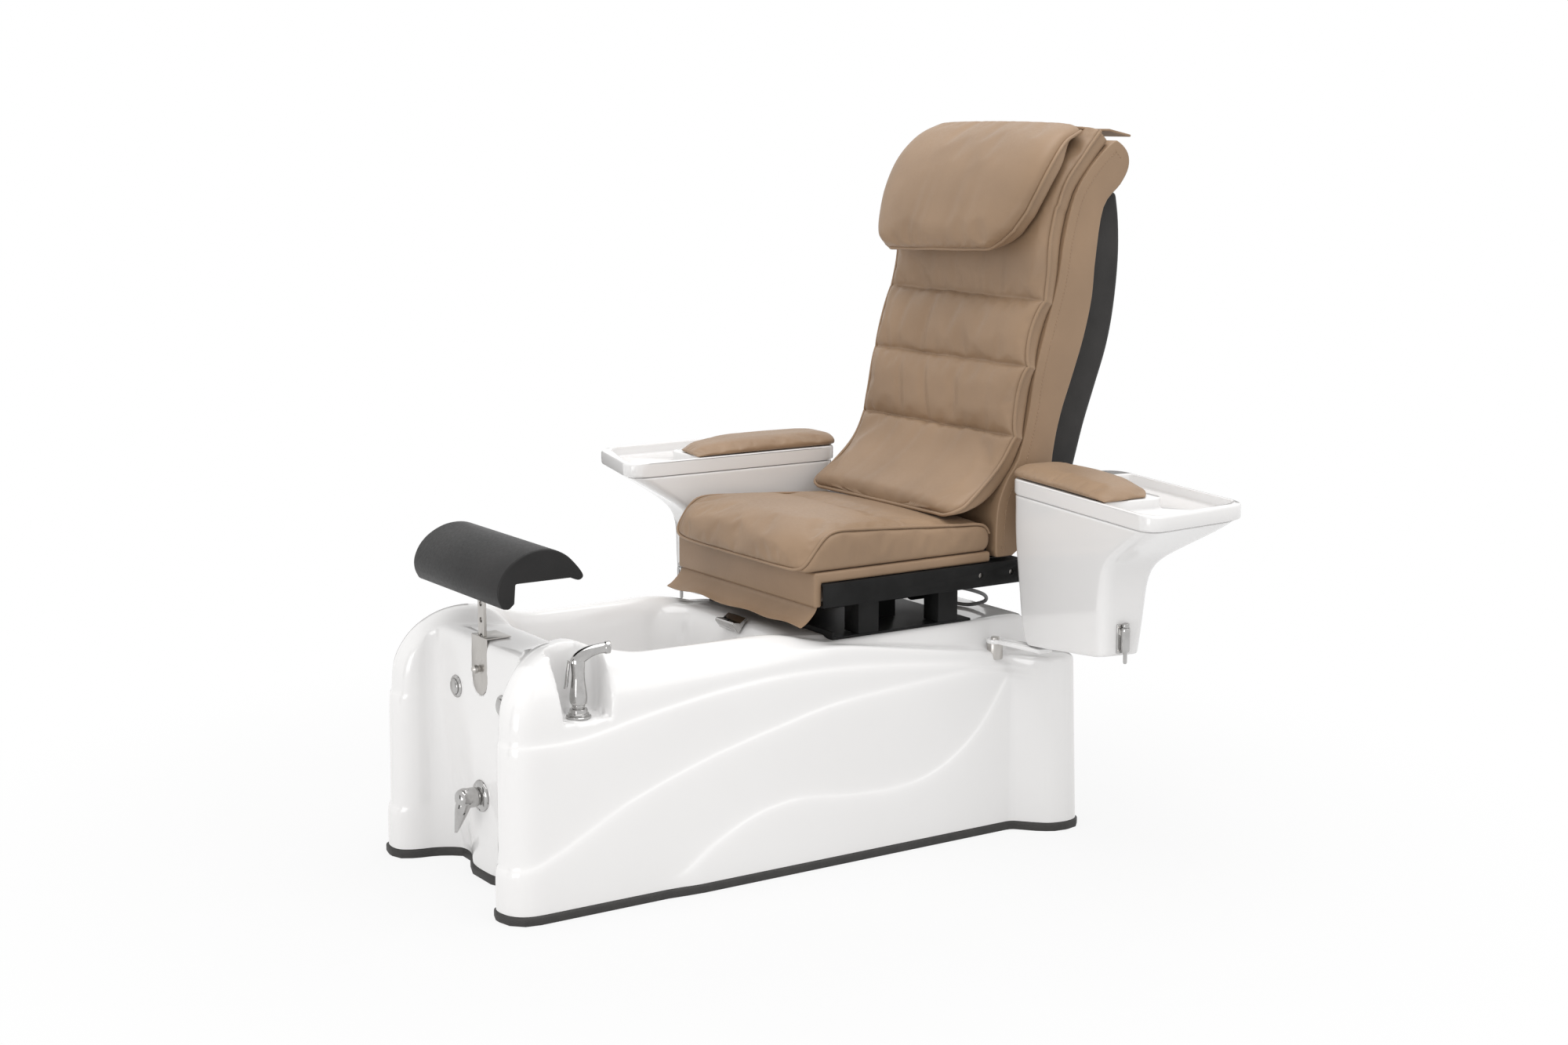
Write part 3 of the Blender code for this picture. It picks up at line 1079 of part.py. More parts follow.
def arm_ring(rear, front_in, front_out, width, radius, height, points=5):
    """A rounded outline in plan. The height is a number, or a function of a."""
    corners = [(rear, 0.0), (front_in, 0.0), (front_out, width), (rear, width)]
    ring = []
    for k, corner in enumerate(corners):
        here = Vector(corner)
        before = here + (Vector(corners[k - 1]) - here).normalized() * radius
        after = here + (Vector(corners[(k + 1) % 4]) - here).normalized() * radius
        for i in range(points):
            t = i / (points - 1)
            spot = before * (1 - t) ** 2 + here * 2 * t * (1 - t) + after * t * t
            ring.append((ARM_X + spot.y, ARM_REAR_Y - spot.x, height(spot.x) if callable(height) else height))
    return ring


def console(name):
    """The moulded leg of the arm, whose top flares out under the tray."""
    def foot(a):
        return CONSOLE_Z + max(a - CONSOLE_FOOT_A, 0.0) * CONSOLE_RISE

    def ankle(a):
        return foot(a) + 0.028

    levels = [(0.078, LEG_FRONT_A, LEG_FRONT_A, 0.092, 0.022, foot),
              (0.050, LEG_FRONT_A, LEG_FRONT_A, 0.098, 0.024, ankle)]
    return loft(f"{name}_arm_console", [arm_ring(*level) for level in levels + CONSOLE_LEVELS], "acrylic")


def tray(name):
    low, high = CONSOLE_TOP, ARM_TOP_Z
    levels = ((0.002, low), (0.0, low + 0.004), (0.0, high - 0.004), (0.003, high))
    rings = [arm_ring(inset, ARM_L - inset, ARM_L - ARM_SLANT - inset, ARM_W - inset, ARM_CORNER, z)
             for inset, z in levels]
    top = loft(f"{name}_arm_tray", rings, "acrylic")
    spots = [(ARM_X + b, ARM_REAR_Y - a) for a, b in TRAY_HOLLOW]
    return cut(top, prism(f"{name}_tray_hollow", spots, "z", high - TRAY_DEPTH, high + 0.02, None))


def arm_pad(name):
    rings = []
    for k in range(PAD_RINGS + 1):
        t = k / PAD_RINGS
        a = (ARM_PAD_L + PAD_BACK) * t - PAD_BACK
        full = math.sqrt(ease(0, 0.12, t + 0.01)) * math.sqrt(ease(0, 0.16, 1 - t + 0.01))
        width = ARM_PAD_W * (0.80 + 0.20 * math.sin(math.pi * (0.15 + 0.75 * t))) * (0.90 + 0.10 * full)
        slant = 0.10 * ease(0.6, 1.0, t)

        def on_tray(x, up, a=a, half=width / 2, slant=slant):
            return (ARM_X + 0.002 + half + x, ARM_REAR_Y - a + slant * (x + half), ARM_TOP_Z + GAP + up)

        high = ARM_PAD_T * (0.30 + 0.45 * full)
        rings.append(section_ring(width / 2, 0, high, 0.012 * full, 0.010 * full, on_tray, 14))
    return loft(f"{name}_arm_pad", rings, "tan_leather")


def swing_plate(name):
    """The plate under the console that turns on the pivot's pin."""
    low = CONSOLE_Z - GAP - PLATE_T
    turns = [math.radians(60 + 200 * k / 8) for k in range(9)]
    outline = [(PIVOT_X + 2 * PIN_R * math.cos(a), PIVOT_Y + 2 * PIN_R * math.sin(a)) for a in turns]
    end_y = ARM_REAR_Y - 0.117
    outline += [(ARM_X + 0.006, end_y), (ARM_X + 0.036, end_y), (ARM_X + 0.036, end_y + 0.035)]
    plate = prism(f"{name}_swing_plate", outline, "z", low, low + PLATE_T, "black_metal")
    return cut(plate, rod(f"{name}_swing_bore", PIN_R + BORE_CLEAR, -0.03, 0.03,
                          (PIVOT_X, PIVOT_Y, low), "z", None, 20))


def arm_pivot(name, side):
    """The pin that stands in the base's ledge."""
    low = CONSOLE_Z - GAP - PLATE_T - LEDGE_Z
    profile = [(0, GAP - PIVOT_SEAT), (PIVOT_FOOT_R, GAP - PIVOT_SEAT), (PIVOT_FOOT_R, low - GAP),
               (PIN_R, low - GAP), (PIN_R, low + PLATE_T + 0.004), (0, low + PLATE_T + 0.004)]
    turned(f"{name}_arm_pivot", profile, (side * PIVOT_X, PIVOT_Y, LEDGE_Z), "z", "stainless", 20)


LATCH_FACE_Y = ARM_REAR_Y - LEG_FRONT_A - GAP
LATCH_AT = Vector((ARM_X + LATCH_B, LATCH_FACE_Y - BARREL_R - 0.002, LATCH_Z))
BARREL = [(BOLT_R + BORE_CLEAR, -0.020), (BARREL_R - 0.001, -0.020), (BARREL_R, -0.014), (BARREL_R, 0.022),
          (BARREL_R - 0.001, 0.028), (BOLT_R + BORE_CLEAR, 0.028)]
BOLT = [(0, -0.044), (BOLT_R - 0.001, -0.044), (BOLT_R, -0.040), (BOLT_R, 0.028 + GAP),
        (0.007, 0.028 + GAP), (0.007, 0.034), (0.005, 0.038), (0, 0.038)]


def latch(name):
    """A barrel bolt on the console's front face: its plate with the barrel, and the sprung bolt."""
    x, _, z = LATCH_AT
    housing = box(f"{name}_latch_housing", (x - LATCH_W / 2, LATCH_FACE_Y - 0.003, z - 0.024),
                  (x + LATCH_W / 2, LATCH_FACE_Y, z + 0.034), "chrome")
    join(housing, turned(f"{name}_barrel", BARREL, LATCH_AT, "z", None, 18))
    return housing, turned(f"{name}_latch_bolt", BOLT, LATCH_AT, "z", "chrome", 16)


def arm(name, side):
    """One arm on its pivot: mirrored and closed on the left, swung open on the right."""
    housing, bolt = latch(name)
    fixed = [console(name), tray(name), arm_pad(name), swing_plate(name), housing]
    mirror = Vector((side, 1, 1))
    cutters = []
    for piece in fixed:
        cutters += [(piece, change.object) for change in piece.modifiers if change.type == "BOOLEAN"]
    for piece in fixed + [bolt] + [cutter for _, cutter in cutters]:
        piece.scale = mirror
    turn = ARM_OPEN if side > 0 else 0.0
    pivot = Vector((PIVOT_X, PIVOT_Y, CONSOLE_Z))
    holder = carrier(f"{name}_arm_axis", pivot * mirror, fixed, turn)
    for piece, cutter in cutters:
        cutter.parent = holder
        cutter.matrix_parent_inverse = piece.matrix_parent_inverse
    swing = Matrix.Translation(pivot) @ Matrix.Rotation(turn, 4, "Z") @ Matrix.Translation(-pivot)
    carrier(f"{name}_latch_axis", (swing @ LATCH_AT) * mirror, [bolt], turn)
    bolt.matrix_parent_inverse = Matrix.Translation(-LATCH_AT * mirror)
    arm_pivot(name, side)


# The chair

wall_edge = whole_ring(WALL_RING)
outer_wall = wall_rings(wall_edge)
base_shell(outer_wall, wall_edge)
base_edging(outer_wall[0])
plumbing()
faucet()
sprayer()
footrest()
deck_pan()
carried = [slide_actuator(), seat_cushion(), recline_actuator()] + seat_panel()
for side_name, side_sign in SIDES:
    push_button(side_name, side_sign)
    rail_frame(side_name, side_sign)
    carried += [slider(side_name, side_sign), back_hinge(side_name, side_sign)]
    arm(side_name, side_sign)
carrier("seat_axis", (0, SEAT_REAR_Y, RAIL_TOP), carried)
back_pieces = [back_body(), back_shell(), overlay(), back_frame(), pillow(), strap()]
carrier("recline_axis", (0, HINGE_Y, HINGE_Z), back_pieces)
carrier("recline_rod_axis", (0, HINGE_Y, RECLINE_Z), [recline_rod()])
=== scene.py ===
"""Looks of the pedicure spa chair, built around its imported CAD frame."""

import json
import math

import bmesh
import bpy
from mathutils import Matrix, Vector, noise
from mathutils.kdtree import KDTree


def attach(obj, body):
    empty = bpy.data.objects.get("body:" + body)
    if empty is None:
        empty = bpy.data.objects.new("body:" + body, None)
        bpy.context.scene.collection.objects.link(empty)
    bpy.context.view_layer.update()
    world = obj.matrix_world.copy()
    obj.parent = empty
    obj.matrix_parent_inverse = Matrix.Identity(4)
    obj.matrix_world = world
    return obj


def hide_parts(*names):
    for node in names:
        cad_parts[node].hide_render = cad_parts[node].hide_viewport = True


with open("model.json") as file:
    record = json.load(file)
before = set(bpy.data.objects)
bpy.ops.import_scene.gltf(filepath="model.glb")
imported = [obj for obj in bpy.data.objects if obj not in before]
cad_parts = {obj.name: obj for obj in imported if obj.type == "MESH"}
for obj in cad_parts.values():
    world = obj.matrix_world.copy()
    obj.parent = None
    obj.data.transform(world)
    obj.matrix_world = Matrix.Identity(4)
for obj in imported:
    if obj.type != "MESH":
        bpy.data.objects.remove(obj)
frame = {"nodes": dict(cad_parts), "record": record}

scene = bpy.context.scene
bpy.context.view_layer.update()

# Sizes that the pieces share with the CAD source
SEAT_Z = 0.5896
WALL_X = 0.285
COLUMN_X = 0.365
LEG_INNER_X = 0.195
PANEL_Y = -0.565
LEG_FRONT_Y = -0.635
COLUMN_Y = 0.513
COLUMN_RUN = 0.055
COLUMN_FLARE = 0.012
BASE_REAR_Y = 0.645
TUB_X = 0.206
TUB_FRONT_Y = -0.43
TUB_REAR_Y = 0.035
DECK_X = 0.242
TRIM_H = 0.018
BRIDGE_Z = 0.486
LOBE_Z = 0.512
RIM_Z = 0.470
DECK_Z = 0.442
LEDGE_Z = 0.376
TUB_FLOOR_Z = 0.165
POCKET_Z = 0.370
SPRAYER = Vector((0.250, -0.482, POCKET_Z))
FAUCET = Vector((0, PANEL_Y, 0.170))
BUTTON_X = 0.100
BUTTON_Z = 0.370
BRACKET_W = 0.064
BRACKET_FOOT_Z = 0.373
BACK_W = 0.53
ARM_X = 0.30
ARM_REAR_Y = 0.477
ARM_PIVOT = Vector((0.275, 0.490, 0.406))
ARM_OPEN = math.radians(80.4)


# Finishes

def begin(name, rough, metal=0.0):
    made = bpy.data.materials.new(name)
    made.use_nodes = True
    tree = made.node_tree
    shader = tree.nodes["Principled BSDF"]
    shader.inputs["Roughness"].default_value = rough
    shader.inputs["Metallic"].default_value = metal
    return made, tree, shader


def add(tree, kind, inputs=None, **settings):
    """A node with its settings, and its inputs set to a value or linked to a socket."""
    made = tree.nodes.new(kind)
    for key, value in settings.items():
        setattr(made, key, value)
    for key, value in (inputs or {}).items():
        if isinstance(value, bpy.types.NodeSocket):
            tree.links.new(value, made.inputs[key])
        else:
            made.inputs[key].default_value = value
    return made


def object_spot(tree, stretch=(1, 1, 1), turn=(0, 0, 0)):
    spot = add(tree, "ShaderNodeTexCoord").outputs["Object"]
    mapped = add(tree, "ShaderNodeMapping", {"Vector": spot, "Scale": stretch, "Rotation": turn})
    return mapped.outputs["Vector"]


def speckle(tree, spot, scale, detail=3.0, rough=0.5):
    return add(tree, "ShaderNodeTexNoise", {"Vector": spot, "Scale": scale, "Detail": detail,
                                            "Roughness": rough}).outputs["Fac"]


# The values of a speckle between which tone and roughness change
SPECKLE_LOW = 0.3
SPECKLE_HIGH = 0.7


def between(tree, share, low, high):
    """A number that runs from low to high with the share."""
    return add(tree, "ShaderNodeMapRange", {"Value": share, "From Min": SPECKLE_LOW, "From Max": SPECKLE_HIGH,
                                            "To Min": low, "To Max": high}).outputs["Result"]


def tinted(tree, share, dark, light):
    ramp = add(tree, "ShaderNodeValToRGB", {"Fac": share})
    for stop, place, tone in zip(ramp.color_ramp.elements, (SPECKLE_LOW, SPECKLE_HIGH), (dark, light)):
        stop.position = place
        stop.color = (*tone, 1)
    return ramp.outputs["Color"]


def raised(tree, height, strength, distance, below=None):
    inputs = {"Height": height, "Strength": strength, "Distance": distance}
    if below:
        inputs["Normal"] = below
    return add(tree, "ShaderNodeBump", inputs).outputs["Normal"]


def wire(tree, shader, colour=None, rough=None, normal=None):
    for key, socket in (("Base Color", colour), ("Roughness", rough), ("Normal", normal)):
        if socket:
            tree.links.new(socket, shader.inputs[key])


def leather(name, dark, light, rough, gloss, sheen):
    """Soft upholstery leather: a fine pebbled grain, slow changes of tone and a satin gloss."""
    made, tree, shader = begin(name, rough)
    spot = object_spot(tree)
    tone = speckle(tree, spot, 7.0, 4.0)
    pores = add(tree, "ShaderNodeTexVoronoi", {"Vector": spot, "Scale": 620.0}, feature="F1")
    creases = speckle(tree, spot, 160.0, 5.0, 0.6)
    wire(tree, shader, tinted(tree, tone, dark, light), between(tree, creases, rough - 0.05, rough + 0.06),
         raised(tree, pores.outputs["Distance"], 0.20, 0.0005, raised(tree, creases, 0.12, 0.0006)))
    shader.inputs["Specular IOR Level"].default_value = gloss
    shader.inputs["Sheen Weight"].default_value = sheen
    return made


def acrylic(name):
    """Vacuum-formed gloss acrylic with a faint flow in its surface."""
    made, tree, shader = begin(name, 0.10)
    spot = object_spot(tree)
    tone = speckle(tree, spot, 2.5, 2.0)
    flow = speckle(tree, spot, 9.0, 2.0)
    wire(tree, shader, tinted(tree, tone, (0.820, 0.814, 0.811), (0.845, 0.840, 0.837)),
         between(tree, flow, 0.08, 0.14), raised(tree, flow, 0.05, 0.002))
    shader.inputs["Coat Weight"].default_value = 0.35
    shader.inputs["Coat Roughness"].default_value = 0.04
    return made


def polished(name, dark, light, low, high):
    """Bright plated metal with the least smudging."""
    made, tree, shader = begin(name, low, 1.0)
    spot = object_spot(tree)
    smudge = speckle(tree, spot, 60.0, 4.0)
    wire(tree, shader, tinted(tree, smudge, dark, light), between(tree, smudge, low, high))
    return made


def brushed(name, dark, light, stretch):
    """Steel with its brushing drawn along one direction."""
    made, tree, shader = begin(name, 0.32, 1.0)
    strokes = speckle(tree, object_spot(tree, stretch), 60.0, 6.0, 0.7)
    wire(tree, shader, tinted(tree, strokes, dark, light), between(tree, strokes, 0.26, 0.42),
         raised(tree, strokes, 0.06, 0.0003))
    return made


def grained(name, dark, light, low, high, scale, strength, gloss):
    """Painted metal or plastic with a fine moulded or sprayed grain."""
    made, tree, shader = begin(name, low)
    shader.inputs["Specular IOR Level"].default_value = gloss
    spot = object_spot(tree)
    grain = speckle(tree, spot, scale, 3.0, 0.6)
    tone = speckle(tree, spot, 12.0, 3.0)
    wire(tree, shader, tinted(tree, tone, dark, light), between(tree, grain, low, high),
         raised(tree, grain, strength, 0.0006))
    return made


def ribbed_rubber(name):
    """Edging rubber with a fine slanted rib in its face."""
    made, tree, shader = begin(name, 0.6)
    spot = object_spot(tree, turn=(0.6, 0.6, 0.785))
    ribs = add(tree, "ShaderNodeTexWave", {"Vector": spot, "Scale": 120.0, "Distortion": 0.6, "Detail": 1.0})
    dust = speckle(tree, spot, 40.0, 4.0)
    wire(tree, shader, tinted(tree, dust, (0.022, 0.021, 0.020), (0.040, 0.038, 0.036)),
         between(tree, dust, 0.52, 0.68), raised(tree, ribs.outputs["Fac"], 0.35, 0.0008))
    return made


def pressed_board(name):
    made, tree, shader = begin(name, 0.8)
    chips = speckle(tree, object_spot(tree, (1, 1, 6)), 70.0, 6.0, 0.7)
    wire(tree, shader, tinted(tree, chips, (0.09, 0.06, 0.04), (0.17, 0.12, 0.08)),
         between(tree, chips, 0.72, 0.88), raised(tree, chips, 0.2, 0.001))
    return made


FINISH = {
    "acrylic": acrylic("white_acrylic"),
    "tan_leather": leather("tan_leather", (0.268, 0.176, 0.107), (0.320, 0.211, 0.129), 0.46, 0.42, 0.06),
    "black_vinyl": leather("black_vinyl", (0.013, 0.013, 0.013), (0.022, 0.021, 0.021), 0.42, 0.22, 0.0),
    "rubber": ribbed_rubber("edging_rubber"),
    "board": pressed_board("base_board_chips"),
    "chrome": polished("bright_chrome", (0.42, 0.413, 0.405), (0.50, 0.493, 0.485), 0.04, 0.08),
    "stainless": brushed("brushed_stainless", (0.46, 0.44, 0.42), (0.60, 0.58, 0.55), (30, 30, 1)),
    "brass": polished("turned_brass", (0.50, 0.36, 0.15), (0.62, 0.46, 0.21), 0.2, 0.32),
    "black_metal": grained("black_powder_coat", (0.010, 0.010, 0.010), (0.018, 0.018, 0.018),
                           0.38, 0.5, 900.0, 0.12, 0.10),
    "black_plastic": grained("grained_black_plastic", (0.024, 0.023, 0.022), (0.036, 0.034, 0.033),
                             0.42, 0.6, 420.0, 0.4, 0.24),
    "grey_plastic": grained("grey_sheath", (0.24, 0.24, 0.25), (0.32, 0.32, 0.33),
                            0.4, 0.5, 300.0, 0.1, 0.3),
}


# Making pieces

SAME_SPOT = 1e-6


def linked(name, data):
    made = bpy.data.objects.new(name, data)
    scene.collection.objects.link(made)
    return made


def opened(mesh):
    """A mesh as a shape to work on."""
    work = bmesh.new()
    work.from_mesh(mesh)
    return work


def stored(work, mesh):
    """The worked shape, written into a mesh."""
    work.to_mesh(mesh)
    work.free()
    return mesh


def shaded(mesh, sharp):
    """Smooth shading, apart from edges sharper than an angle in degrees."""
    mesh.shade_smooth()
    mesh.set_sharp_from_angle(angle=math.radians(sharp))


def coated(mesh, slot):
    mesh.materials.clear()
    mesh.materials.append(FINISH[slot])


def dressed(name, mesh, slot, body, nodes=(), sharp=40):
    """A mesh made into a piece that has a finish, rides on a body and stands for CAD nodes."""
    shaded(mesh, sharp)
    coated(mesh, slot)
    made = linked(name, mesh)
    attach(made, body)
    if nodes:
        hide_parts(*nodes)
    return made


def finished(name, work, slot, body, nodes=(), sharp=40):
    """A worked shape made into a piece."""
    bmesh.ops.recalc_face_normals(work, faces=work.faces[:])
    return dressed(name, stored(work, bpy.data.meshes.new(name)), slot, body, nodes, sharp)


def neighbours(row, closed):
    return zip(row, row[1:] + row[:1] if closed else row[1:])


def loft(rings, cap_first=True, cap_last=True, closed=True):
    """A skin drawn from its first ring, which is extruded to each later ring in turn."""
    work = bmesh.new()
    row = [work.verts.new(point) for point in rings[0]]
    edges = [work.edges.new(pair) for pair in neighbours(row, closed)]
    if cap_first:
        work.faces.new(row)
    for ring in rings[1:]:
        drawn = set(bmesh.ops.extrude_edge_only(work, edges=edges)["geom"])
        row = [next(e.other_vert(v) for e in v.link_edges if e.other_vert(v) in drawn) for v in row]
        for vert, point in zip(row, ring):
            vert.co = point
        edges = [work.edges.get(pair) for pair in neighbours(row, closed)]
    if cap_last:
        work.faces.new(row)
    return in_order(work)


def in_order(work):
    """Edges and faces sorted by their points, since the order they are drawn in differs from run to run."""
    work.verts.index_update()
    count = len(work.verts)

    def rank(part):
        first, second, third = (sorted(v.index for v in part.verts) + [0])[:3]
        return (first * count + second) * count + third

    work.edges.sort(key=rank)
    work.faces.sort(key=rank)
    return work


def turned(profile, centre, axis="z", steps=48):
    """A profile of (radius, height) spun about an axis through the centre."""
    work = bmesh.new()
    row = [work.verts.new((radius, 0, height)) for radius, height in profile]
    edges = [work.edges.new(pair) for pair in zip(row, row[1:])]
    bmesh.ops.spin(work, geom=row + edges, axis=(0, 0, 1), angle=math.tau, steps=steps, use_merge=True)
    bmesh.ops.remove_doubles(work, verts=work.verts[:], dist=SAME_SPOT)
    if axis == "y":
        bmesh.ops.rotate(work, verts=work.verts[:], matrix=Matrix.Rotation(-math.pi / 2, 3, "X"))
    bmesh.ops.translate(work, verts=work.verts[:], vec=centre)
    return work


def prism(outline, axis, low, high):
    """An outline in the two other axes, extruded along an axis."""
    work = bmesh.new()
    row = []
    for point in outline:
        spot = list(point)
        spot.insert("xyz".index(axis), low)
        row.append(work.verts.new(spot))
    made = bmesh.ops.extrude_face_region(work, geom=[work.faces.new(row)])["geom"]
    shift = Vector((0, 0, 0))
    shift["xyz".index(axis)] = high - low
    bmesh.ops.translate(work, verts=[v for v in made if isinstance(v, bmesh.types.BMVert)], vec=shift)
    return work


def bevelled(work, edges, width, segments, clamp=False):
    bmesh.ops.bevel(work, geom=edges, offset=width, segments=segments, profile=0.5, affect="EDGES",
                    material=-1, clamp_overlap=clamp)


def sharp_edges(work, angle):
    """The edges between two faces that meet at more than an angle in degrees."""
    return [e for e in work.edges if len(e.link_faces) == 2 and e.calc_face_angle(0) > math.radians(angle)]


def rounded(work, width, segments=3, angle=30):
    """The sharp edges of a shape, rounded."""
    bmesh.ops.recalc_face_normals(work, faces=work.faces[:])
    bevelled(work, sharp_edges(work, angle), width, segments, True)
    return work


def relaxed(work, verts, rounds):
    """Points drawn towards the middle of their neighbours."""
    for _ in range(rounds):
        bmesh.ops.smooth_vert(work, verts=verts, factor=0.5, use_axis_x=True, use_axis_y=True,
                              use_axis_z=True)


def subdivided(made, levels):
    change = made.modifiers.new("Smooth", "SUBSURF")
    change.levels = levels
    change.render_levels = levels
    return made


def applied(made):
    """The piece's modifiers, made part of its mesh."""
    graph = bpy.context.evaluated_depsgraph_get()
    mesh = bpy.data.meshes.new_from_object(made.evaluated_get(graph))
    made.modifiers.clear()
    made.data = mesh


def near(points):
    """A search tree over points."""
    tree = KDTree(len(points))
    for k, point in enumerate(points):
        tree.insert(point, k)
    tree.balance()
    return tree


def turns(count):
    """Even angles round a circle."""
    return [math.tau * k / count for k in range(count)]


def smooth_path(points, per_span):
    """A Catmull-Rom curve through the points."""
    spots = [2 * Vector(points[0]) - Vector(points[1]), *map(Vector, points),
             2 * Vector(points[-1]) - Vector(points[-2])]
    path = []
    for a, b, c, d in zip(spots, spots[1:], spots[2:], spots[3:]):
        for k in range(per_span):
            t = k / per_span
            path.append(0.5 * (2 * b + (c - a) * t + (2 * a - 5 * b + 4 * c - d) * t * t
                               + (3 * b - 3 * c + d - a) * t ** 3))
    return path + [spots[-2]]


def ease(low, high, value):
    t = min(max((value - low) / (high - low), 0), 1)
    return t * t * (3 - 2 * t)


def round_end(place, radius):
    """How full a rounded end is at a distance from its tip, as a share."""
    return math.sqrt(max(1 - (1 - min(place / radius, 1)) ** 2, 0.0))


CURVE_STEPS = 32


def through(value, stations):
    """A smooth curve of (place, height) stations, read at a place and level past its ends."""
    if value <= stations[0][0]:
        return stations[0][1]
    if value >= stations[-1][0]:
        return stations[-1][1]
    k = max(n for n, s in enumerate(stations) if s[0] <= value)
    t = (value - stations[k][0]) / (stations[k + 1][0] - stations[k][0])
    curve = smooth_path([(0, 0, s[1]) for s in stations], CURVE_STEPS)
    return curve[CURVE_STEPS * k + round(CURVE_STEPS * t)].z


def hard_copy(node, slot, body, width):
    """A CAD node's merged copy with its sharp edges eased."""
    work = opened(frame["nodes"][node].data)
    bmesh.ops.remove_doubles(work, verts=work.verts[:], dist=2 * SAME_SPOT)
    bmesh.ops.dissolve_limit(work, angle_limit=math.radians(0.5), verts=work.verts[:], edges=work.edges[:])
    rounded(work, width, 2)
    return finished(node + "_eased", work, slot, body, [node], 30)


# Base: rings of stations from the front centre to the rear centre and back

STRAIGHTS = (5, 2, 2, 6, 8, 3, 8, 1, 2, 3)
ROUNDING = 4
ROUND_SHARE = 0.48
STEP_OUT = 0.008
STEP_HALF = 0.005
TOE_IN = 0.035
TOE_Z = 0.24
UPPER_STEP = [(-0.62, 0.335), (-0.50, 0.336), (-0.36, 0.362), (-0.20, 0.386), (-0.03, 0.398), (0.16, 0.391),
              (0.36, 0.371), (0.50, 0.356)]
MIDDLE_STEP = [(-0.64, 0.098), (-0.56, 0.125), (-0.42, 0.195), (-0.25, 0.253), (-0.125, 0.287), (0.06, 0.325),
               (0.25, 0.341), (0.50, 0.352)]
LOWER_STEP = [(-0.29, 0.040), (-0.23, 0.085), (-0.13, 0.132), (-0.02, 0.150), (0.09, 0.139), (0.20, 0.134),
              (0.28, 0.142), (0.35, 0.169), (0.41, 0.210), (0.46, 0.265), (0.50, 0.335)]
WALL_STEPS = (UPPER_STEP, MIDDLE_STEP, LOWER_STEP)
POCKET_BEND = 0.025
POCKET_IN = 0.034
POCKET_AHEAD = 0.048
POCKET_BEHIND = 0.052
POCKET_DRAFT = 0.012
RECESS_GAP = 0.001
RECESS_DEPTH = 0.005
# Boxes round the edges of the two cuts, the reach of their rounding and its rounds
POCKET_EDGES = ((0.19, -0.57, 0.355), (0.30, -0.40, 0.54), 0.010, 12)
RECESS_EDGES = ((-0.06, -0.58, 0.355), (0.06, -0.53, 0.50), 0.006, 8)
CUT_ANGLE = 28
CUT_SPLITS = (0.012, 0.007, 0.004)
TUB_MIDDLE_Y = -0.22
TUB_FLOOR_SHARE = 0.55


def half_ring(corners):
    """Stations along the corners (x, y, z, setback), each corner rounded within its setback."""
    spots = [Vector(c[:3]) for c in corners]
    stations = []
    leave = spots[0]
    for k in range(1, len(spots) - 1):
        to_before, to_after = spots[k - 1] - spots[k], spots[k + 1] - spots[k]
        setback = min(corners[k][3], ROUND_SHARE * to_before.length, ROUND_SHARE * to_after.length)
        before = spots[k] + to_before.normalized() * setback
        after = spots[k] + to_after.normalized() * setback
        stations += [leave.lerp(before, i / STRAIGHTS[k - 1]) for i in range(STRAIGHTS[k - 1])]
        for i in range(ROUNDING):
            t = i / ROUNDING
            stations.append(before * (1 - t) ** 2 + spots[k] * 2 * t * (1 - t) + after * t * t)
        leave = after
    last = STRAIGHTS[len(spots) - 2]
    return stations + [leave.lerp(spots[-1], i / last) for i in range(last + 1)]


def whole_ring(corners):
    right = half_ring(corners)
    return right + [Vector((-p.x, p.y, p.z)) for p in right[-2:0:-1]]


def tub_ring(inset, height, rear_inset):
    """The tub's outline drawn in by the inset, and more at its sloping rear."""
    rear = TUB_REAR_Y - rear_inset
    x = TUB_X - inset
    front = TUB_FRONT_Y + inset
    return [(0, front, height), (0.08, front, height, 0.02), (0.13, front + 0.004, height, 0.02),
            (x, front + 0.03, height, 0.06), (x, -0.33, height, 0.04), (x, -0.11, height, 0.03),
            (x - 0.004, rear - 0.06, height, 0.02), (x - 0.035, rear - 0.01, height, 0.02),
            (0.12, rear, height, 0.02), (0.06, rear, height, 0.02), (0, rear, height)]


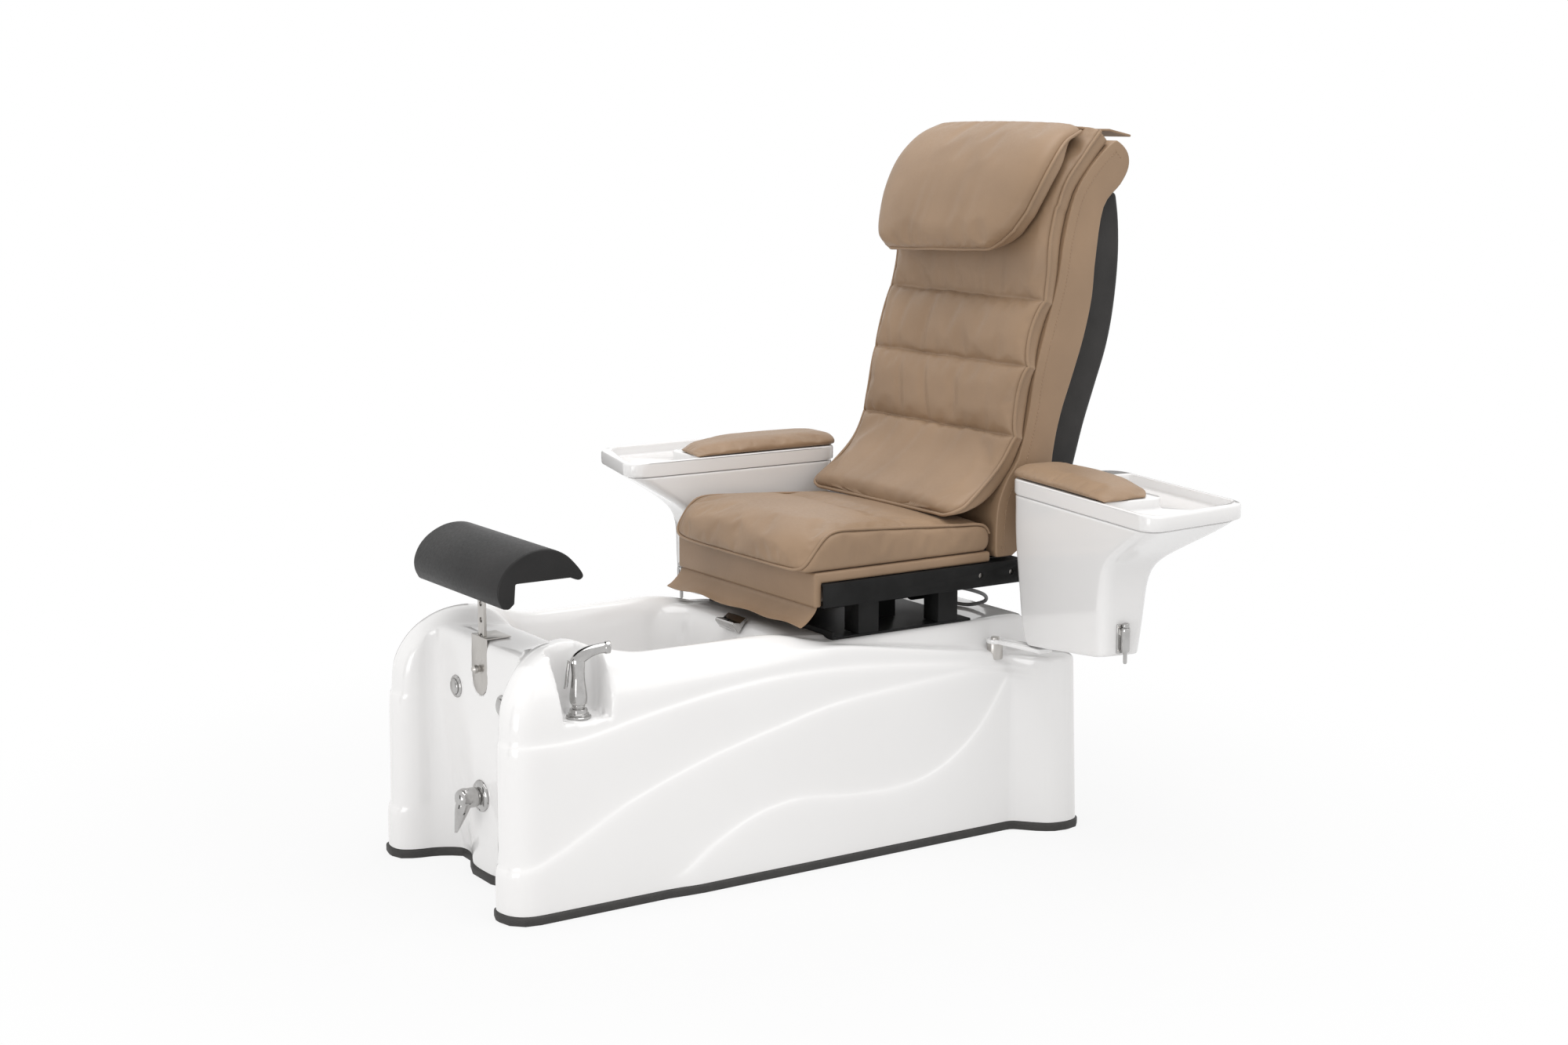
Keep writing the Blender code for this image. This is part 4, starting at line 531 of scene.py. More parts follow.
def base_rings():
    """Corners of the wall's top edge, then of the rings from the shoulder over the rim to the tub's floor."""
    wall = [(0, PANEL_Y, 0.462), (LEG_INNER_X - 0.01, PANEL_Y, 0.462, 0.03),
            (LEG_INNER_X + 0.005, LEG_FRONT_Y, 0.40, 0.035), (WALL_X, LEG_FRONT_Y, 0.395, 0.06),
            (WALL_X, -0.40, 0.408, 0.08), (WALL_X, -0.03, 0.428, 0.06), (WALL_X, 0.10, 0.436, 0.06),
            (WALL_X, COLUMN_Y, LEDGE_Z - 0.006, 0.015),
            (COLUMN_X, COLUMN_Y + COLUMN_RUN, LEDGE_Z - 0.012, 0.04),
            (COLUMN_X, BASE_REAR_Y, LEDGE_Z - 0.012, 0.07), (0, BASE_REAR_Y, LEDGE_Z - 0.012)]
    shoulder = [(0, PANEL_Y + 0.003, 0.478), (LEG_INNER_X - 0.017, PANEL_Y + 0.003, 0.478, 0.03),
                (LEG_INNER_X + 0.008, LEG_FRONT_Y + 0.027, 0.45, 0.03),
                (WALL_X - 0.013, LEG_FRONT_Y + 0.027, 0.447, 0.055), (WALL_X - 0.013, -0.40, 0.432, 0.08),
                (WALL_X - 0.011, -0.03, 0.442, 0.06), (WALL_X - 0.007, 0.10, 0.444, 0.05),
                (WALL_X - 0.008, COLUMN_Y + 0.01, LEDGE_Z - 0.001, 0.012),
                (COLUMN_X - 0.010, COLUMN_Y + COLUMN_RUN + 0.006, LEDGE_Z - 0.001, 0.035),
                (COLUMN_X - 0.010, BASE_REAR_Y - 0.01, LEDGE_Z - 0.001, 0.06),
                (0, BASE_REAR_Y - 0.01, LEDGE_Z - 0.001)]
    crest = [(0, PANEL_Y + 0.013, BRIDGE_Z - 0.001),
             (LEG_INNER_X - 0.03, PANEL_Y + 0.013, BRIDGE_Z - 0.001, 0.03),
             (LEG_INNER_X + 0.01, LEG_FRONT_Y + 0.06, LOBE_Z - 0.030, 0.025),
             (WALL_X - 0.03, LEG_FRONT_Y + 0.06, LOBE_Z - 0.032, 0.05), (WALL_X - 0.029, -0.40, 0.455, 0.08),
             (WALL_X - 0.029, -0.03, 0.460, 0.06), (DECK_X + 0.018, 0.09, 0.440, 0.03),
             (DECK_X + 0.010, COLUMN_Y + 0.01, LEDGE_Z, 0.01),
             (DECK_X + 0.010, COLUMN_Y + 0.04, LEDGE_Z, 0.01),
             (DECK_X + 0.010, BASE_REAR_Y - 0.025, LEDGE_Z, 0.03), (0, BASE_REAR_Y - 0.025, LEDGE_Z)]
    rim = [(0, PANEL_Y + 0.04, BRIDGE_Z), (0.135, PANEL_Y + 0.04, BRIDGE_Z, 0.02),
           (LEG_INNER_X - 0.005, PANEL_Y + 0.035, LOBE_Z - 0.006, 0.02),
           (WALL_X - 0.047, PANEL_Y + 0.035, LOBE_Z - 0.007, 0.05), (WALL_X - 0.047, -0.385, RIM_Z, 0.08),
           (WALL_X - 0.045, -0.03, RIM_Z + 0.002, 0.05), (DECK_X + 0.006, 0.09, DECK_Z, 0.03),
           (DECK_X, COLUMN_Y, DECK_Z, 0.01), (DECK_X, COLUMN_Y + 0.03, DECK_Z, 0.01),
           (DECK_X, BASE_REAR_Y - 0.043, DECK_Z, 0.03), (0, BASE_REAR_Y - 0.043, DECK_Z)]
    inner = [(0, TUB_FRONT_Y - 0.03, BRIDGE_Z - 0.003), (0.11, TUB_FRONT_Y - 0.03, BRIDGE_Z - 0.002, 0.02),
             (0.165, TUB_FRONT_Y - 0.04, LOBE_Z - 0.002, 0.02),
             (TUB_X + 0.016, TUB_FRONT_Y - 0.035, LOBE_Z, 0.05),
             (TUB_X + 0.016, -0.37, RIM_Z + 0.002, 0.07), (TUB_X + 0.018, -0.03, RIM_Z + 0.003, 0.05),
             (DECK_X - 0.012, 0.08, DECK_Z, 0.02), (DECK_X - 0.012, COLUMN_Y - 0.01, DECK_Z, 0.01),
             (DECK_X - 0.012, COLUMN_Y + 0.02, DECK_Z, 0.01),
             (DECK_X - 0.012, BASE_REAR_Y - 0.06, DECK_Z, 0.03),
             (0, BASE_REAR_Y - 0.06, DECK_Z)]
    deck = [(0, TUB_FRONT_Y - 0.012, BRIDGE_Z - 0.008), (0.095, TUB_FRONT_Y - 0.012, BRIDGE_Z - 0.008, 0.02),
            (0.146, TUB_FRONT_Y - 0.015, 0.496, 0.02), (TUB_X + 0.008, TUB_FRONT_Y - 0.004, 0.495, 0.05),
            (TUB_X + 0.009, -0.345, RIM_Z, 0.05), (TUB_X + 0.010, -0.04, RIM_Z, 0.04),
            (TUB_X + 0.010, TUB_REAR_Y + 0.045, DECK_Z, 0.02),
            (TUB_X - 0.01, TUB_REAR_Y + 0.060, DECK_Z, 0.02),
            (0.14, TUB_REAR_Y + 0.06, DECK_Z, 0.02), (0.07, TUB_REAR_Y + 0.06, DECK_Z, 0.02),
            (0, TUB_REAR_Y + 0.06, DECK_Z)]
    tub = [tub_ring(0.0, RIM_Z - 0.008, 0.0), tub_ring(0.010, 0.42, 0.030),
           tub_ring(0.030, TUB_FLOOR_Z + 0.045, 0.050), tub_ring(0.042, TUB_FLOOR_Z + 0.012, 0.062),
           tub_ring(0.062, TUB_FLOOR_Z, 0.082)]
    return wall, [shoulder, crest, rim, inner, deck] + tub


def wall_rings(plan):
    """Rings of the outer wall, from its foot to the top edge, with its sweeping steps."""
    levels = [[] for _ in range(3 * len(WALL_STEPS) + 1)]
    for i, top in enumerate(plan):
        along = plan[(i + 1) % len(plan)] - plan[i - 1]
        y, x = top.y, abs(top.x)
        beside = COLUMN_Y - COLUMN_RUN < y < COLUMN_Y + COLUMN_RUN
        out = Vector((along.y, -along.x, 0)).normalized()
        if beside:
            out = Vector((math.copysign(1, top.x), 0, 0))
        front = y < PANEL_Y + 0.05
        scooped = ease(0.036, 0.13, x) * (1 - ease(0.15, LEG_INNER_X, x)) if front else 0.0
        on_leg = ease(LEG_INNER_X, LEG_INNER_X + 0.03, x) if front else 1.0
        on_column = ease(COLUMN_Y, COLUMN_Y + COLUMN_RUN, y)
        upper = on_leg * (1 - on_column)
        steps = (upper, upper, ease(-0.31, -0.26, y) * (1 - on_column))
        heights = [top.z]
        for step in WALL_STEPS:
            heights.append(min(through(y, step), heights[-1] - 3 * STEP_HALF))
        offset = 0.0
        marks = []
        for height, step in zip(heights[1:], steps):
            marks.append((height + 1.6 * STEP_HALF, offset))
            marks.append((height + 0.3 * STEP_HALF, offset + 0.35 * STEP_OUT * step))
            offset += STEP_OUT * step
            marks.append((height - STEP_HALF, offset))
        marks.append((TRIM_H, offset))
        for level, (height, shift) in zip(levels, reversed(marks)):
            flare = COLUMN_FLARE * on_column * (1 - height / LEDGE_Z)
            spot = top + out * (shift + flare)
            toe = TOE_IN * scooped * (1 - ease(TRIM_H, TOE_Z, height))
            level.append(Vector((spot.x, spot.y + toe, height)))
    return levels


def sprayer_pocket():
    """The D-shaped pocket in the right leg's top, open to the outside."""
    def ring(height, grow):
        inner, outer = SPRAYER.x - POCKET_IN - grow, WALL_X + 0.05
        front, rear = SPRAYER.y - POCKET_AHEAD - grow, SPRAYER.y + POCKET_BEHIND + grow
        bend = POCKET_BEND
        quarter = [math.pi / 2 * k / 8 for k in range(9)]
        rear_arc = [(inner + bend * (1 - math.sin(a)), rear - bend * (1 - math.cos(a))) for a in quarter]
        front_arc = [(inner + bend * (1 - math.cos(a)), front + bend * (1 - math.sin(a))) for a in quarter]
        return [Vector((x, y, height)) for x, y in [(outer, rear)] + rear_arc + front_arc + [(outer, front)]]
    return loft([ring(POCKET_Z, 0.0), ring(LOBE_Z + 0.05, POCKET_DRAFT)])


def bracket_recess():
    """The round-footed recess in the front panel that takes the footrest's bracket."""
    half, foot = BRACKET_W / 2 + RECESS_GAP, BRACKET_FOOT_Z - RECESS_GAP
    lower = [math.pi + math.pi * k / 24 for k in range(25)]
    arc = [(half * math.cos(a), foot + half * (1 + math.sin(a))) for a in lower]
    return prism(arc + [(half, 0.56), (-half, 0.56)], "y", PANEL_Y - 0.05, PANEL_Y + RECESS_DEPTH)


def carved(made, work):
    """A cutter's shape, taken out of a piece."""
    bmesh.ops.recalc_face_normals(work, faces=work.faces[:])
    mesh = stored(work, bpy.data.meshes.new("cutter"))
    cutter = linked("cutter", mesh)
    change = made.modifiers.new("Cut", "BOOLEAN")
    change.operation = "DIFFERENCE"
    change.solver = "EXACT"
    change.object = cutter
    applied(made)
    bpy.data.objects.remove(cutter)
    bpy.data.meshes.remove(mesh)


def eased_cut(made, low, high, reach, rounds):
    """The sharp edges inside a box, drawn round by splitting and smoothing the faces beside them."""
    work = opened(made.data)
    inside = [e for e in sharp_edges(work, CUT_ANGLE)
              if all(low[i] <= v.co[i] <= high[i] for v in e.verts for i in range(3))]
    tree = near([e.verts[0].co.lerp(e.verts[1].co, share) for e in inside for share in (0.0, 0.5, 1.0)])
    for limit in CUT_SPLITS:
        beside = [e for e in work.edges if e.calc_length() > limit
                  and tree.find((e.verts[0].co + e.verts[1].co) / 2)[2] < reach + e.calc_length() / 2]
        bmesh.ops.subdivide_edges(work, edges=beside, cuts=1, use_grid_fill=True)
        bmesh.ops.triangulate(work, faces=[f for f in work.faces if len(f.verts) > 4])
    relaxed(work, [v for v in work.verts if tree.find(v.co)[2] < reach and not v.is_boundary], rounds)
    stored(work, made.data)


def base():
    wall, tops = base_rings()
    plan = whole_ring(wall)
    middle = []
    for p in whole_ring(tops[-1]):
        y = TUB_MIDDLE_Y + (p.y - TUB_MIDDLE_Y) * TUB_FLOOR_SHARE
        middle.append(Vector((p.x * TUB_FLOOR_SHARE, y, TUB_FLOOR_Z)))
    rings = wall_rings(plan) + [plan] + [whole_ring(corners) for corners in tops] + [middle]
    made = finished("moulded_base", loft(rings, cap_first=False), "acrylic", "base", ["base_shell"], 80)
    applied(subdivided(made, 2))
    carved(made, sprayer_pocket())
    carved(made, bracket_recess())
    eased_cut(made, *POCKET_EDGES)
    eased_cut(made, *RECESS_EDGES)
    shaded(made.data, 75)


base()

# Carried-over CAD nodes take the finish of their slots
for row in frame["record"]["subparts"]:
    coated(frame["nodes"][row["node"]].data, row["material_slot"])

EASED = {
    "base": (("left_rail_frame", "black_metal", 0.0012), ("right_rail_frame", "black_metal", 0.0012),
             ("deck_pan", "black_metal", 0.001), ("footrest_bracket", "stainless", 0.0006),
             ("waterfall_spout", "chrome", 0.0015), ("bottom_trim", "rubber", 0.002),
             ("slide_actuator_body", "black_metal", 0.0012), ("left_arm_pivot", "stainless", 0.0008),
             ("right_arm_pivot", "stainless", 0.0008)),
    "seat_carriage": (("left_back_hinge", "black_metal", 0.0012), ("right_back_hinge", "black_metal", 0.0012),
                      ("recline_actuator_body", "black_metal", 0.0012)),
    "backrest": (("back_frame", "black_metal", 0.0012),),
    "left_arm": (("left_swing_plate", "acrylic", 0.001),),
    "right_arm": (("right_swing_plate", "acrylic", 0.001),),
    "footrest": (("footrest_post", "stainless", 0.0006),),
}
for body, pieces in EASED.items():
    for node, slot, width in pieces:
        hard_copy(node, slot, body, width)


# Lines and tubes

def tube(name, path, radius, slot, body, nodes=()):
    """A round tube along a path, with flat ends."""
    curve = bpy.data.curves.new(name, "CURVE")
    curve.dimensions = "3D"
    curve.bevel_depth = radius
    curve.bevel_resolution = 4
    curve.use_fill_caps = True
    spline = curve.splines.new("POLY")
    spline.points.add(len(path) - 1)
    for spot, point in zip(spline.points, path):
        spot.co = (*point, 1)
    drawn = linked(name, curve)
    mesh = bpy.data.meshes.new_from_object(drawn)
    bpy.data.objects.remove(drawn)
    bpy.data.curves.remove(curve)
    return dressed(name, mesh, slot, body, nodes, 60)


def spaced(path, step):
    """Points at even steps along a path."""
    points = [Vector(path[0])]
    left = step
    for a, b in zip(path, path[1:]):
        a, b = Vector(a), Vector(b)
        length = (b - a).length
        at = left
        while at <= length and length > 0:
            points.append(a.lerp(b, at / length))
            at += step
        left = at - length
    return points


# Slide: the actuator's lead with its connector, and the web that closes the far side

LEAD = [(0.12, 0.4206, 0.4993), (0.12, 0.450, 0.4993), (0.15, 0.500, 0.4913), (0.172, 0.538, 0.4773),
        (0.16, 0.552, 0.4593), (0.13, 0.535, 0.4480), (0.09, 0.520, 0.4465)]
LEAD_R = 0.004
CONNECTOR = (0.018, 0.013, 0.0085)
CONNECTOR_AHEAD = 0.0095
FERRULE_L = 0.014
FERRULE_REAR_R = 0.0072
FERRULE_FRONT_R = 0.0056
FERRULE_AHEAD = 0.0073
WEB = [(0.170, 0.4478), (0.420, 0.4478), (0.420, 0.5180), (0.170, 0.5180)]
WEB_X = (-0.184, -0.180)


def actuator_lead():
    route = smooth_path(LEAD, 10)
    way = (route[-1] - route[-2]).normalized()
    turn = way.to_track_quat("X", "Z").to_matrix().to_4x4()
    block = bmesh.new()
    bmesh.ops.create_cube(block, size=1.0, matrix=Matrix.Translation(route[-1] + way * CONNECTOR_AHEAD) @ turn
                          @ Matrix.Diagonal((*CONNECTOR, 1)))
    plug = finished("lead_connector", rounded(block, 0.0012, 2), "grey_plastic", "base", sharp=30)
    ferrule = bmesh.new()
    place = Matrix.Translation(route[0] + Vector((0, FERRULE_AHEAD, 0)))
    bmesh.ops.create_cone(ferrule, cap_ends=True, segments=32, radius1=FERRULE_REAR_R,
                          radius2=FERRULE_FRONT_R, depth=FERRULE_L,
                          matrix=place @ Matrix.Rotation(-math.pi / 2, 4, "X"))
    finished("lead_ferrule", rounded(ferrule, 0.0008, 2), "brass", "base", sharp=30)
    made = tube("actuator_lead", route, LEAD_R, "grey_plastic", "base", nodes=["actuator_cable"])


def slide_web():
    finished("slide_far_web", rounded(prism(WEB, "x", *WEB_X), 0.001, 2), "black_metal", "base", sharp=30)


# Upholstery: a cushion's skin is remeshed, sewn down along its seams and blown up as cloth

STITCH_STEP = 0.002
SEWN_R = 0.006
SEWN_DEPTH = 0.0022
FAR_AWAY = Vector((9, 9, 9))
SKIN_GROWTH = 0.008
STUFFED_PRESSURE = 4.0
STUFFED_CAP = 0.006
PAD_PRESSURE = 2.0
CLOTH_FRAMES = 20


def pillowed(name, work, body, nodes, seams, held, voxel, pressure, cap, stiff):
    """A cushion whose skin is remeshed, sewn down along its seams, and held where its points can't move."""
    made = finished(name, work, "tan_leather", body, nodes, 180)
    change = made.modifiers.new("Skin", "REMESH")
    change.mode = "VOXEL"
    change.voxel_size = voxel
    applied(made)
    skin = opened(made.data)
    relaxed(skin, skin.verts[:], 3)
    skin.normal_update()
    stitches = near([p for seam in seams for p in spaced(seam, STITCH_STEP)] or [FAR_AWAY])
    pinned = []
    for vert in skin.verts:
        gap = stitches.find(vert.co)[2]
        if gap < SEWN_R:
            vert.co -= vert.normal * SEWN_DEPTH * (1 - ease(0.3 * SEWN_R, SEWN_R, gap))
        if gap < 0.5 * SEWN_R or held(vert.co):
            pinned.append(vert.index)
    stored(skin, made.data)
    upholstered(made, pinned, pressure, SKIN_GROWTH, cap, stiff)


def stuffed(name, rings, pins, body, nodes, grow):
    """A cushion lofted through its rings, its panels free to swell between the pinned points."""
    made = finished(name, loft(rings), "tan_leather", body, nodes, 180)
    tree = near(pins)
    pinned = [v.index for v in made.data.vertices if tree.find(v.co)[2] < 0.0002]
    upholstered(made, pinned, STUFFED_PRESSURE, grow, STUFFED_CAP, 10.0)


def upholstered(made, pinned, pressure, grow, cap, stiff):
    coated(made.data, "tan_leather")
    blown(made, pinned, pressure, grow, cap, stiff)
    made.data.shade_smooth()
    subdivided(made, 1)


def blown(made, pinned, pressure, grow, cap, stiff):
    """The skin after a short cloth simulation under pressure, with its movement capped."""
    before = [v.co.copy() for v in made.data.vertices]
    sewn = made.vertex_groups.new(name="sewn")
    sewn.add(pinned, 1.0, "REPLACE")
    cloth = made.modifiers.new("Cloth", "CLOTH")
    settings = cloth.settings
    settings.vertex_group_mass = "sewn"
    settings.use_pressure = True
    settings.uniform_pressure_force = pressure
    settings.shrink_min = -grow
    settings.shrink_max = -grow
    settings.quality = 5
    settings.mass = 0.4
    settings.air_damping = 2.0
    settings.tension_stiffness = 30
    settings.compression_stiffness = 30
    settings.shear_stiffness = 15
    settings.bending_stiffness = stiff
    settings.effector_weights.gravity = 0
    cloth.point_cache.frame_start = 1
    cloth.point_cache.frame_end = CLOTH_FRAMES
    for step in range(1, CLOTH_FRAMES + 1):
        scene.frame_set(step)
    graph = bpy.context.evaluated_depsgraph_get()
    after = [v.co.copy() for v in made.evaluated_get(graph).data.vertices]
    made.modifiers.remove(cloth)
    made.vertex_groups.remove(sewn)
    scene.frame_set(1)
    for vert, old, new in zip(made.data.vertices, before, after):
        move = new - old
        if move.length > cap:
            move *= cap / move.length * (1 + 0.15 * (1 - cap / move.length))
        vert.co = old + move
    skin = opened(made.data)
    relaxed(skin, skin.verts[:], 1)
    stored(skin, made.data)


# How square a pad's section is at its sides and at its faces
SIDE_SQUARE = 0.30
FACE_SQUARE = 0.55
PIPING_STEP = 0.005


def section_ring(half_width, high, crown, wrap, place_point, points=48):
    """A pad's section: a rounded box in (across, up) whose top swells by the crown at its middle
    and falls away by the wrap at its sides."""
    ring = []
    for k in range(points):
        a = math.tau * (k + 0.5) / points
        c, s = math.cos(a), math.sin(a)
        across = half_width * math.copysign(abs(c) ** SIDE_SQUARE, c)
        up = high / 2 + high / 2 * math.copysign(abs(s) ** FACE_SQUARE, s)
        if s > 0:
            aside = across / half_width
            up += min(s * 2, 1.0) * (crown * (1 - aside ** 2) - wrap * aside ** 4)
        ring.append(place_point(across, up))
    return ring


# Seat

SEAT_SHOWN_X = 0.262
SEAT_FRONT_Y = 0.016
SEAT_REAR_Y = 0.485
CUSHION_T = [(0.02, 0.078), (0.10, 0.080), (0.25, 0.072), (0.485, 0.056)]
SEAT_CROWN = 0.008
SEAM_X = SEAT_SHOWN_X - 0.008
# The nose from its underside to the top: distance behind the front, and share of the thickness
NOSE_FULL = ((0.022, 0.0), (0.002, 0.02), (-0.008, 0.20), (-0.009, 0.42), (0.001, 0.66), (0.022, 0.87),
             (0.064, 0.99))
NOSE_SIDE = ((0.024, 0.0), (0.002, 0.03), (0.009, 0.17), (0.024, 0.40), (0.040, 0.64), (0.058, 0.86),
             (0.088, 0.985))
NOSE_LEFT = ((0.036, 0.0), (0.022, 0.06), (0.022, 0.20), (0.031, 0.42), (0.044, 0.65), (0.060, 0.86),
             (0.089, 0.985))
SEAT_REAR = ((0.030, 1.0), (0.008, 0.92), (0.0, 0.62), (0.0, 0.22), (0.010, 0.0))
CROSS_SEAM = [(-0.254, 0.290), (-0.10, 0.290), (0.008, 0.287), (0.110, 0.286), (0.165, 0.292), (0.215, 0.284),
              (0.248, 0.267)]
SEAT_RINGS = 40
SEAT_VOXEL = 0.0056
SEAT_END_IN = 0.0048
# Where the piping runs on the rings' points: under the nose, and along the end rings
UNDER_NOSE = 6
PIPED_SIDE = slice(9, 61)
SEAT_PIPING_R = 0.0030
APRON_Y = 0.044
APRON_T = 0.018
APRON_FOOT_Z = 0.5193
PANEL_LOW_Z = 0.5673
PANEL_HIGH_Z = 0.5893
SKIRT_HANG_Y = 0.053
SKIRT_TOP_Z = 0.519
SKIRT_FOOT_Z = 0.482
SKIRT_T = 0.0016
SKIRT_WAVE = 0.0035
SKIRT_RIPPLE = 0.0012
SKIRT_ROWS = 60


def seat_height(x, y, share):
    """The height of a point at a share of the cushion's thickness there."""
    crown = 1 - min(abs(x) / SEAM_X, 1.0) ** 2.5
    return SEAT_Z + through(y, CUSHION_T) * share + SEAT_CROWN * crown * ease(0.7, 1.0, share)


def seat_outline(x):
    """The seat cushion's outline in the plane at x, from under its nose over the top to its rear foot."""
    full = 1 - min(abs(x) / SEAM_X, 1.0) ** 5
    corner = NOSE_LEFT if x < 0 else NOSE_SIDE
    nose = [(SEAT_FRONT_Y + b + (a - b) * full, c + (d - c) * full)
            for (a, d), (b, c) in zip(NOSE_FULL, corner)]
    depth = SEAT_REAR_Y - SEAT_FRONT_Y
    middle = [(SEAT_FRONT_Y + depth * t, 0.98 + 0.02 * full) for t in (0.38, 0.58, 0.78)]
    outline = nose + middle + [(SEAT_REAR_Y - a, c) for a, c in SEAT_REAR]
    return smooth_path([(x, y, seat_height(x, y, share)) for y, share in outline], 5)


def drawn_in(outline, amount):
    """The outline shrunk towards its middle."""
    middle = sum(outline, Vector()) / len(outline)
    return [Vector((p.x, p.y + amount * math.copysign(1, middle.y - p.y),
                    p.z + amount * math.copysign(1, middle.z - p.z))) for p in outline]


def seat_cushion():
    """The cushion with its piping up one side, across under the nose and back along the other."""
    rings = [seat_outline(SEAM_X * (2 * k / SEAT_RINGS - 1)) for k in range(SEAT_RINGS + 1)]
    ends = []
    for side in (-1, 1):
        outline = drawn_in(seat_outline(side * SEAM_X), SEAT_END_IN)
        ends.append([Vector((side * SEAT_SHOWN_X, p.y, p.z)) for p in outline])
    under = [ring[UNDER_NOSE] for ring in rings]
    corded = spaced(rings[0][PIPED_SIDE][::-1] + under[2:-2] + rings[-1][PIPED_SIDE], PIPING_STEP)
    for _ in range(8):
        softer = [(a + 2 * b + c) / 4 for a, b, c in zip(corded, corded[1:], corded[2:])]
        corded = corded[:1] + softer + corded[-1:]
    across = smooth_path([(x, y, 0) for x, y in CROSS_SEAM], 6)
    cross = [Vector((p.x, p.y, seat_height(p.x, p.y, 0.985))) for p in across]
    pillowed("seat_cushion_cover", loft([ends[0]] + rings + [ends[1]]), "seat_carriage", ["seat_cushion"],
             [corded, cross], lambda p: p.z < SEAT_Z + 0.008 or p.y > SEAT_REAR_Y - 0.004, SEAT_VOXEL,
             STUFFED_PRESSURE, STUFFED_CAP, 12.0)
    proud = [p + Vector((0.0012 * (p.x / SEAM_X) ** 9, -0.0010 * (1 - ease(0.02, 0.06, p.y)), 0.0008))
             for p in corded]
    tube("seat_piping", proud, SEAT_PIPING_R, "tan_leather", "seat_carriage")


def seat_panel():
    """The thin padded panel under the cushion, with its front apron."""
    outline = [(SEAT_REAR_Y, PANEL_LOW_Z), (SEAT_REAR_Y, PANEL_HIGH_Z), (APRON_Y, PANEL_HIGH_Z),
               (APRON_Y, APRON_FOOT_Z), (APRON_Y + APRON_T, APRON_FOOT_Z), (APRON_Y + APRON_T, PANEL_LOW_Z)]
    work = rounded(prism(outline, "x", -SEAT_SHOWN_X, SEAT_SHOWN_X), 0.0055, 4)
    made = finished("seat_base_cover", work, "tan_leather", "seat_carriage", ["seat_base_panel"], 60)


def seat_skirt():
    """The loose leather flap that hangs from the apron and spreads over the rim."""
    profile = smooth_path([(0, SKIRT_HANG_Y, SKIRT_TOP_Z), (0, SKIRT_HANG_Y - 0.008, SKIRT_TOP_Z - 0.013),
                           (0, SKIRT_HANG_Y - 0.025, SKIRT_FOOT_Z + 0.008),
                           (0, SKIRT_HANG_Y - 0.0395, SKIRT_FOOT_Z)], 6)
    rows = []
    for k in range(SKIRT_ROWS + 1):
        x = (SEAT_SHOWN_X - 0.004) * (2 * k / SKIRT_ROWS - 1)
        row = []
        for i, spot in enumerate(profile):
            loose = i / (len(profile) - 1)
            wave = SKIRT_WAVE * loose * noise.noise(Vector((x * 11, 3.1, 0.4)))
            wave += SKIRT_RIPPLE * loose * math.sin(38 * x)
            row.append(Vector((x, spot.y + 0.4 * wave, spot.z + wave)))
        rows.append(row)
    work = loft(rows, False, False, False)
    bmesh.ops.solidify(work, geom=work.faces[:], thickness=SKIRT_T)
    made = finished("seat_skirt_flap", work, "tan_leather", "seat_carriage", ["seat_skirt"], 50)


# Backrest

BODY_FRONT = [(0.505, 0.575), (0.497, 0.582), (0.497, 0.640), (0.503, 0.690), (0.523, 0.735), (0.553, 0.780),
              (0.578, 0.865), (0.594, 0.955), (0.621, 1.047), (0.650, 1.142), (0.666, 1.232), (0.692, 1.318),
              (0.735, 1.378)]
BODY_TOP = [(0.790, 1.425), (0.812, 1.424), (0.834, 1.402), (0.836, 1.372), (0.815, 1.338)]
BODY_REAR = [(0.770, 1.291), (0.751, 1.185), (0.743, 1.104), (0.723, 1.023), (0.694, 0.942), (0.664, 0.862),
             (0.645, 0.780), (0.625, 0.625), (0.575, 0.597), (0.540, 0.575)]
SHELL_REAR = [(0.688, 0.655), (0.722, 0.720), (0.756, 0.830), (0.786, 0.912), (0.816, 0.995), (0.834, 1.078),
              (0.844, 1.178), (0.842, 1.260), (0.832, 1.325)]
SHELL_W = BACK_W - 0.060
OVERLAY = [(0.384, 0.675), (0.456, 0.718), (0.514, 0.778), (0.545, 0.870), (0.562, 0.960), (0.590, 1.055),
           (0.620, 1.150), (0.634, 1.240), (0.664, 1.335), (0.715, 1.400), (0.762, 1.452)]
OVERLAY_SEAMS = (0.0, 0.246, 0.409, 0.566, 1.0)
OVERLAY_T = 0.050
PILLOW = [(0.557, 1.199), (0.566, 1.240), (0.588, 1.312), (0.622, 1.378), (0.668, 1.430), (0.720, 1.456)]
# The room for the back frame's plate
WING = [(0.40, 0.50), (0.75, 0.50), (0.75, 0.625), (0.40, 0.625)]
WING_X = 0.2305
STRAP = [(0.7190, 1.4590), (0.770, 1.4525), (0.815, 1.4525), (0.875, 1.4400), (0.874, 1.4350),
         (0.815, 1.4475), (0.770, 1.4475), (0.7215, 1.4535)]
STRAP_IN = 0.04
STITCH_GAP = 0.0075
STITCH_R = 0.0011
STITCH_LONG = 2.2
STITCH_IN = 0.022
BACK_PIPING_R = 0.0036
PIPING_PROUD = 0.0022
FACE_STEPS = 72
SIDE_STEPS = 3
REAR_STEPS = 20
PATH_STEP = 0.001
FINE_STEP = 0.0025
COARSE_STEP = 0.0065
FINE_REACH = 0.03


def side_view(points, per_span=4):
    """Stations (y, z) as a smooth line at x = 0."""
    return smooth_path([(0, y, z) for y, z in points], per_span)


def framed(path, k):
    """A path's point, and the way out of the cushion there."""
    along = (path[min(k + 1, len(path) - 1)] - path[max(k - 1, 0)]).normalized()
    return path[k], Vector((0, -along.z, along.y))


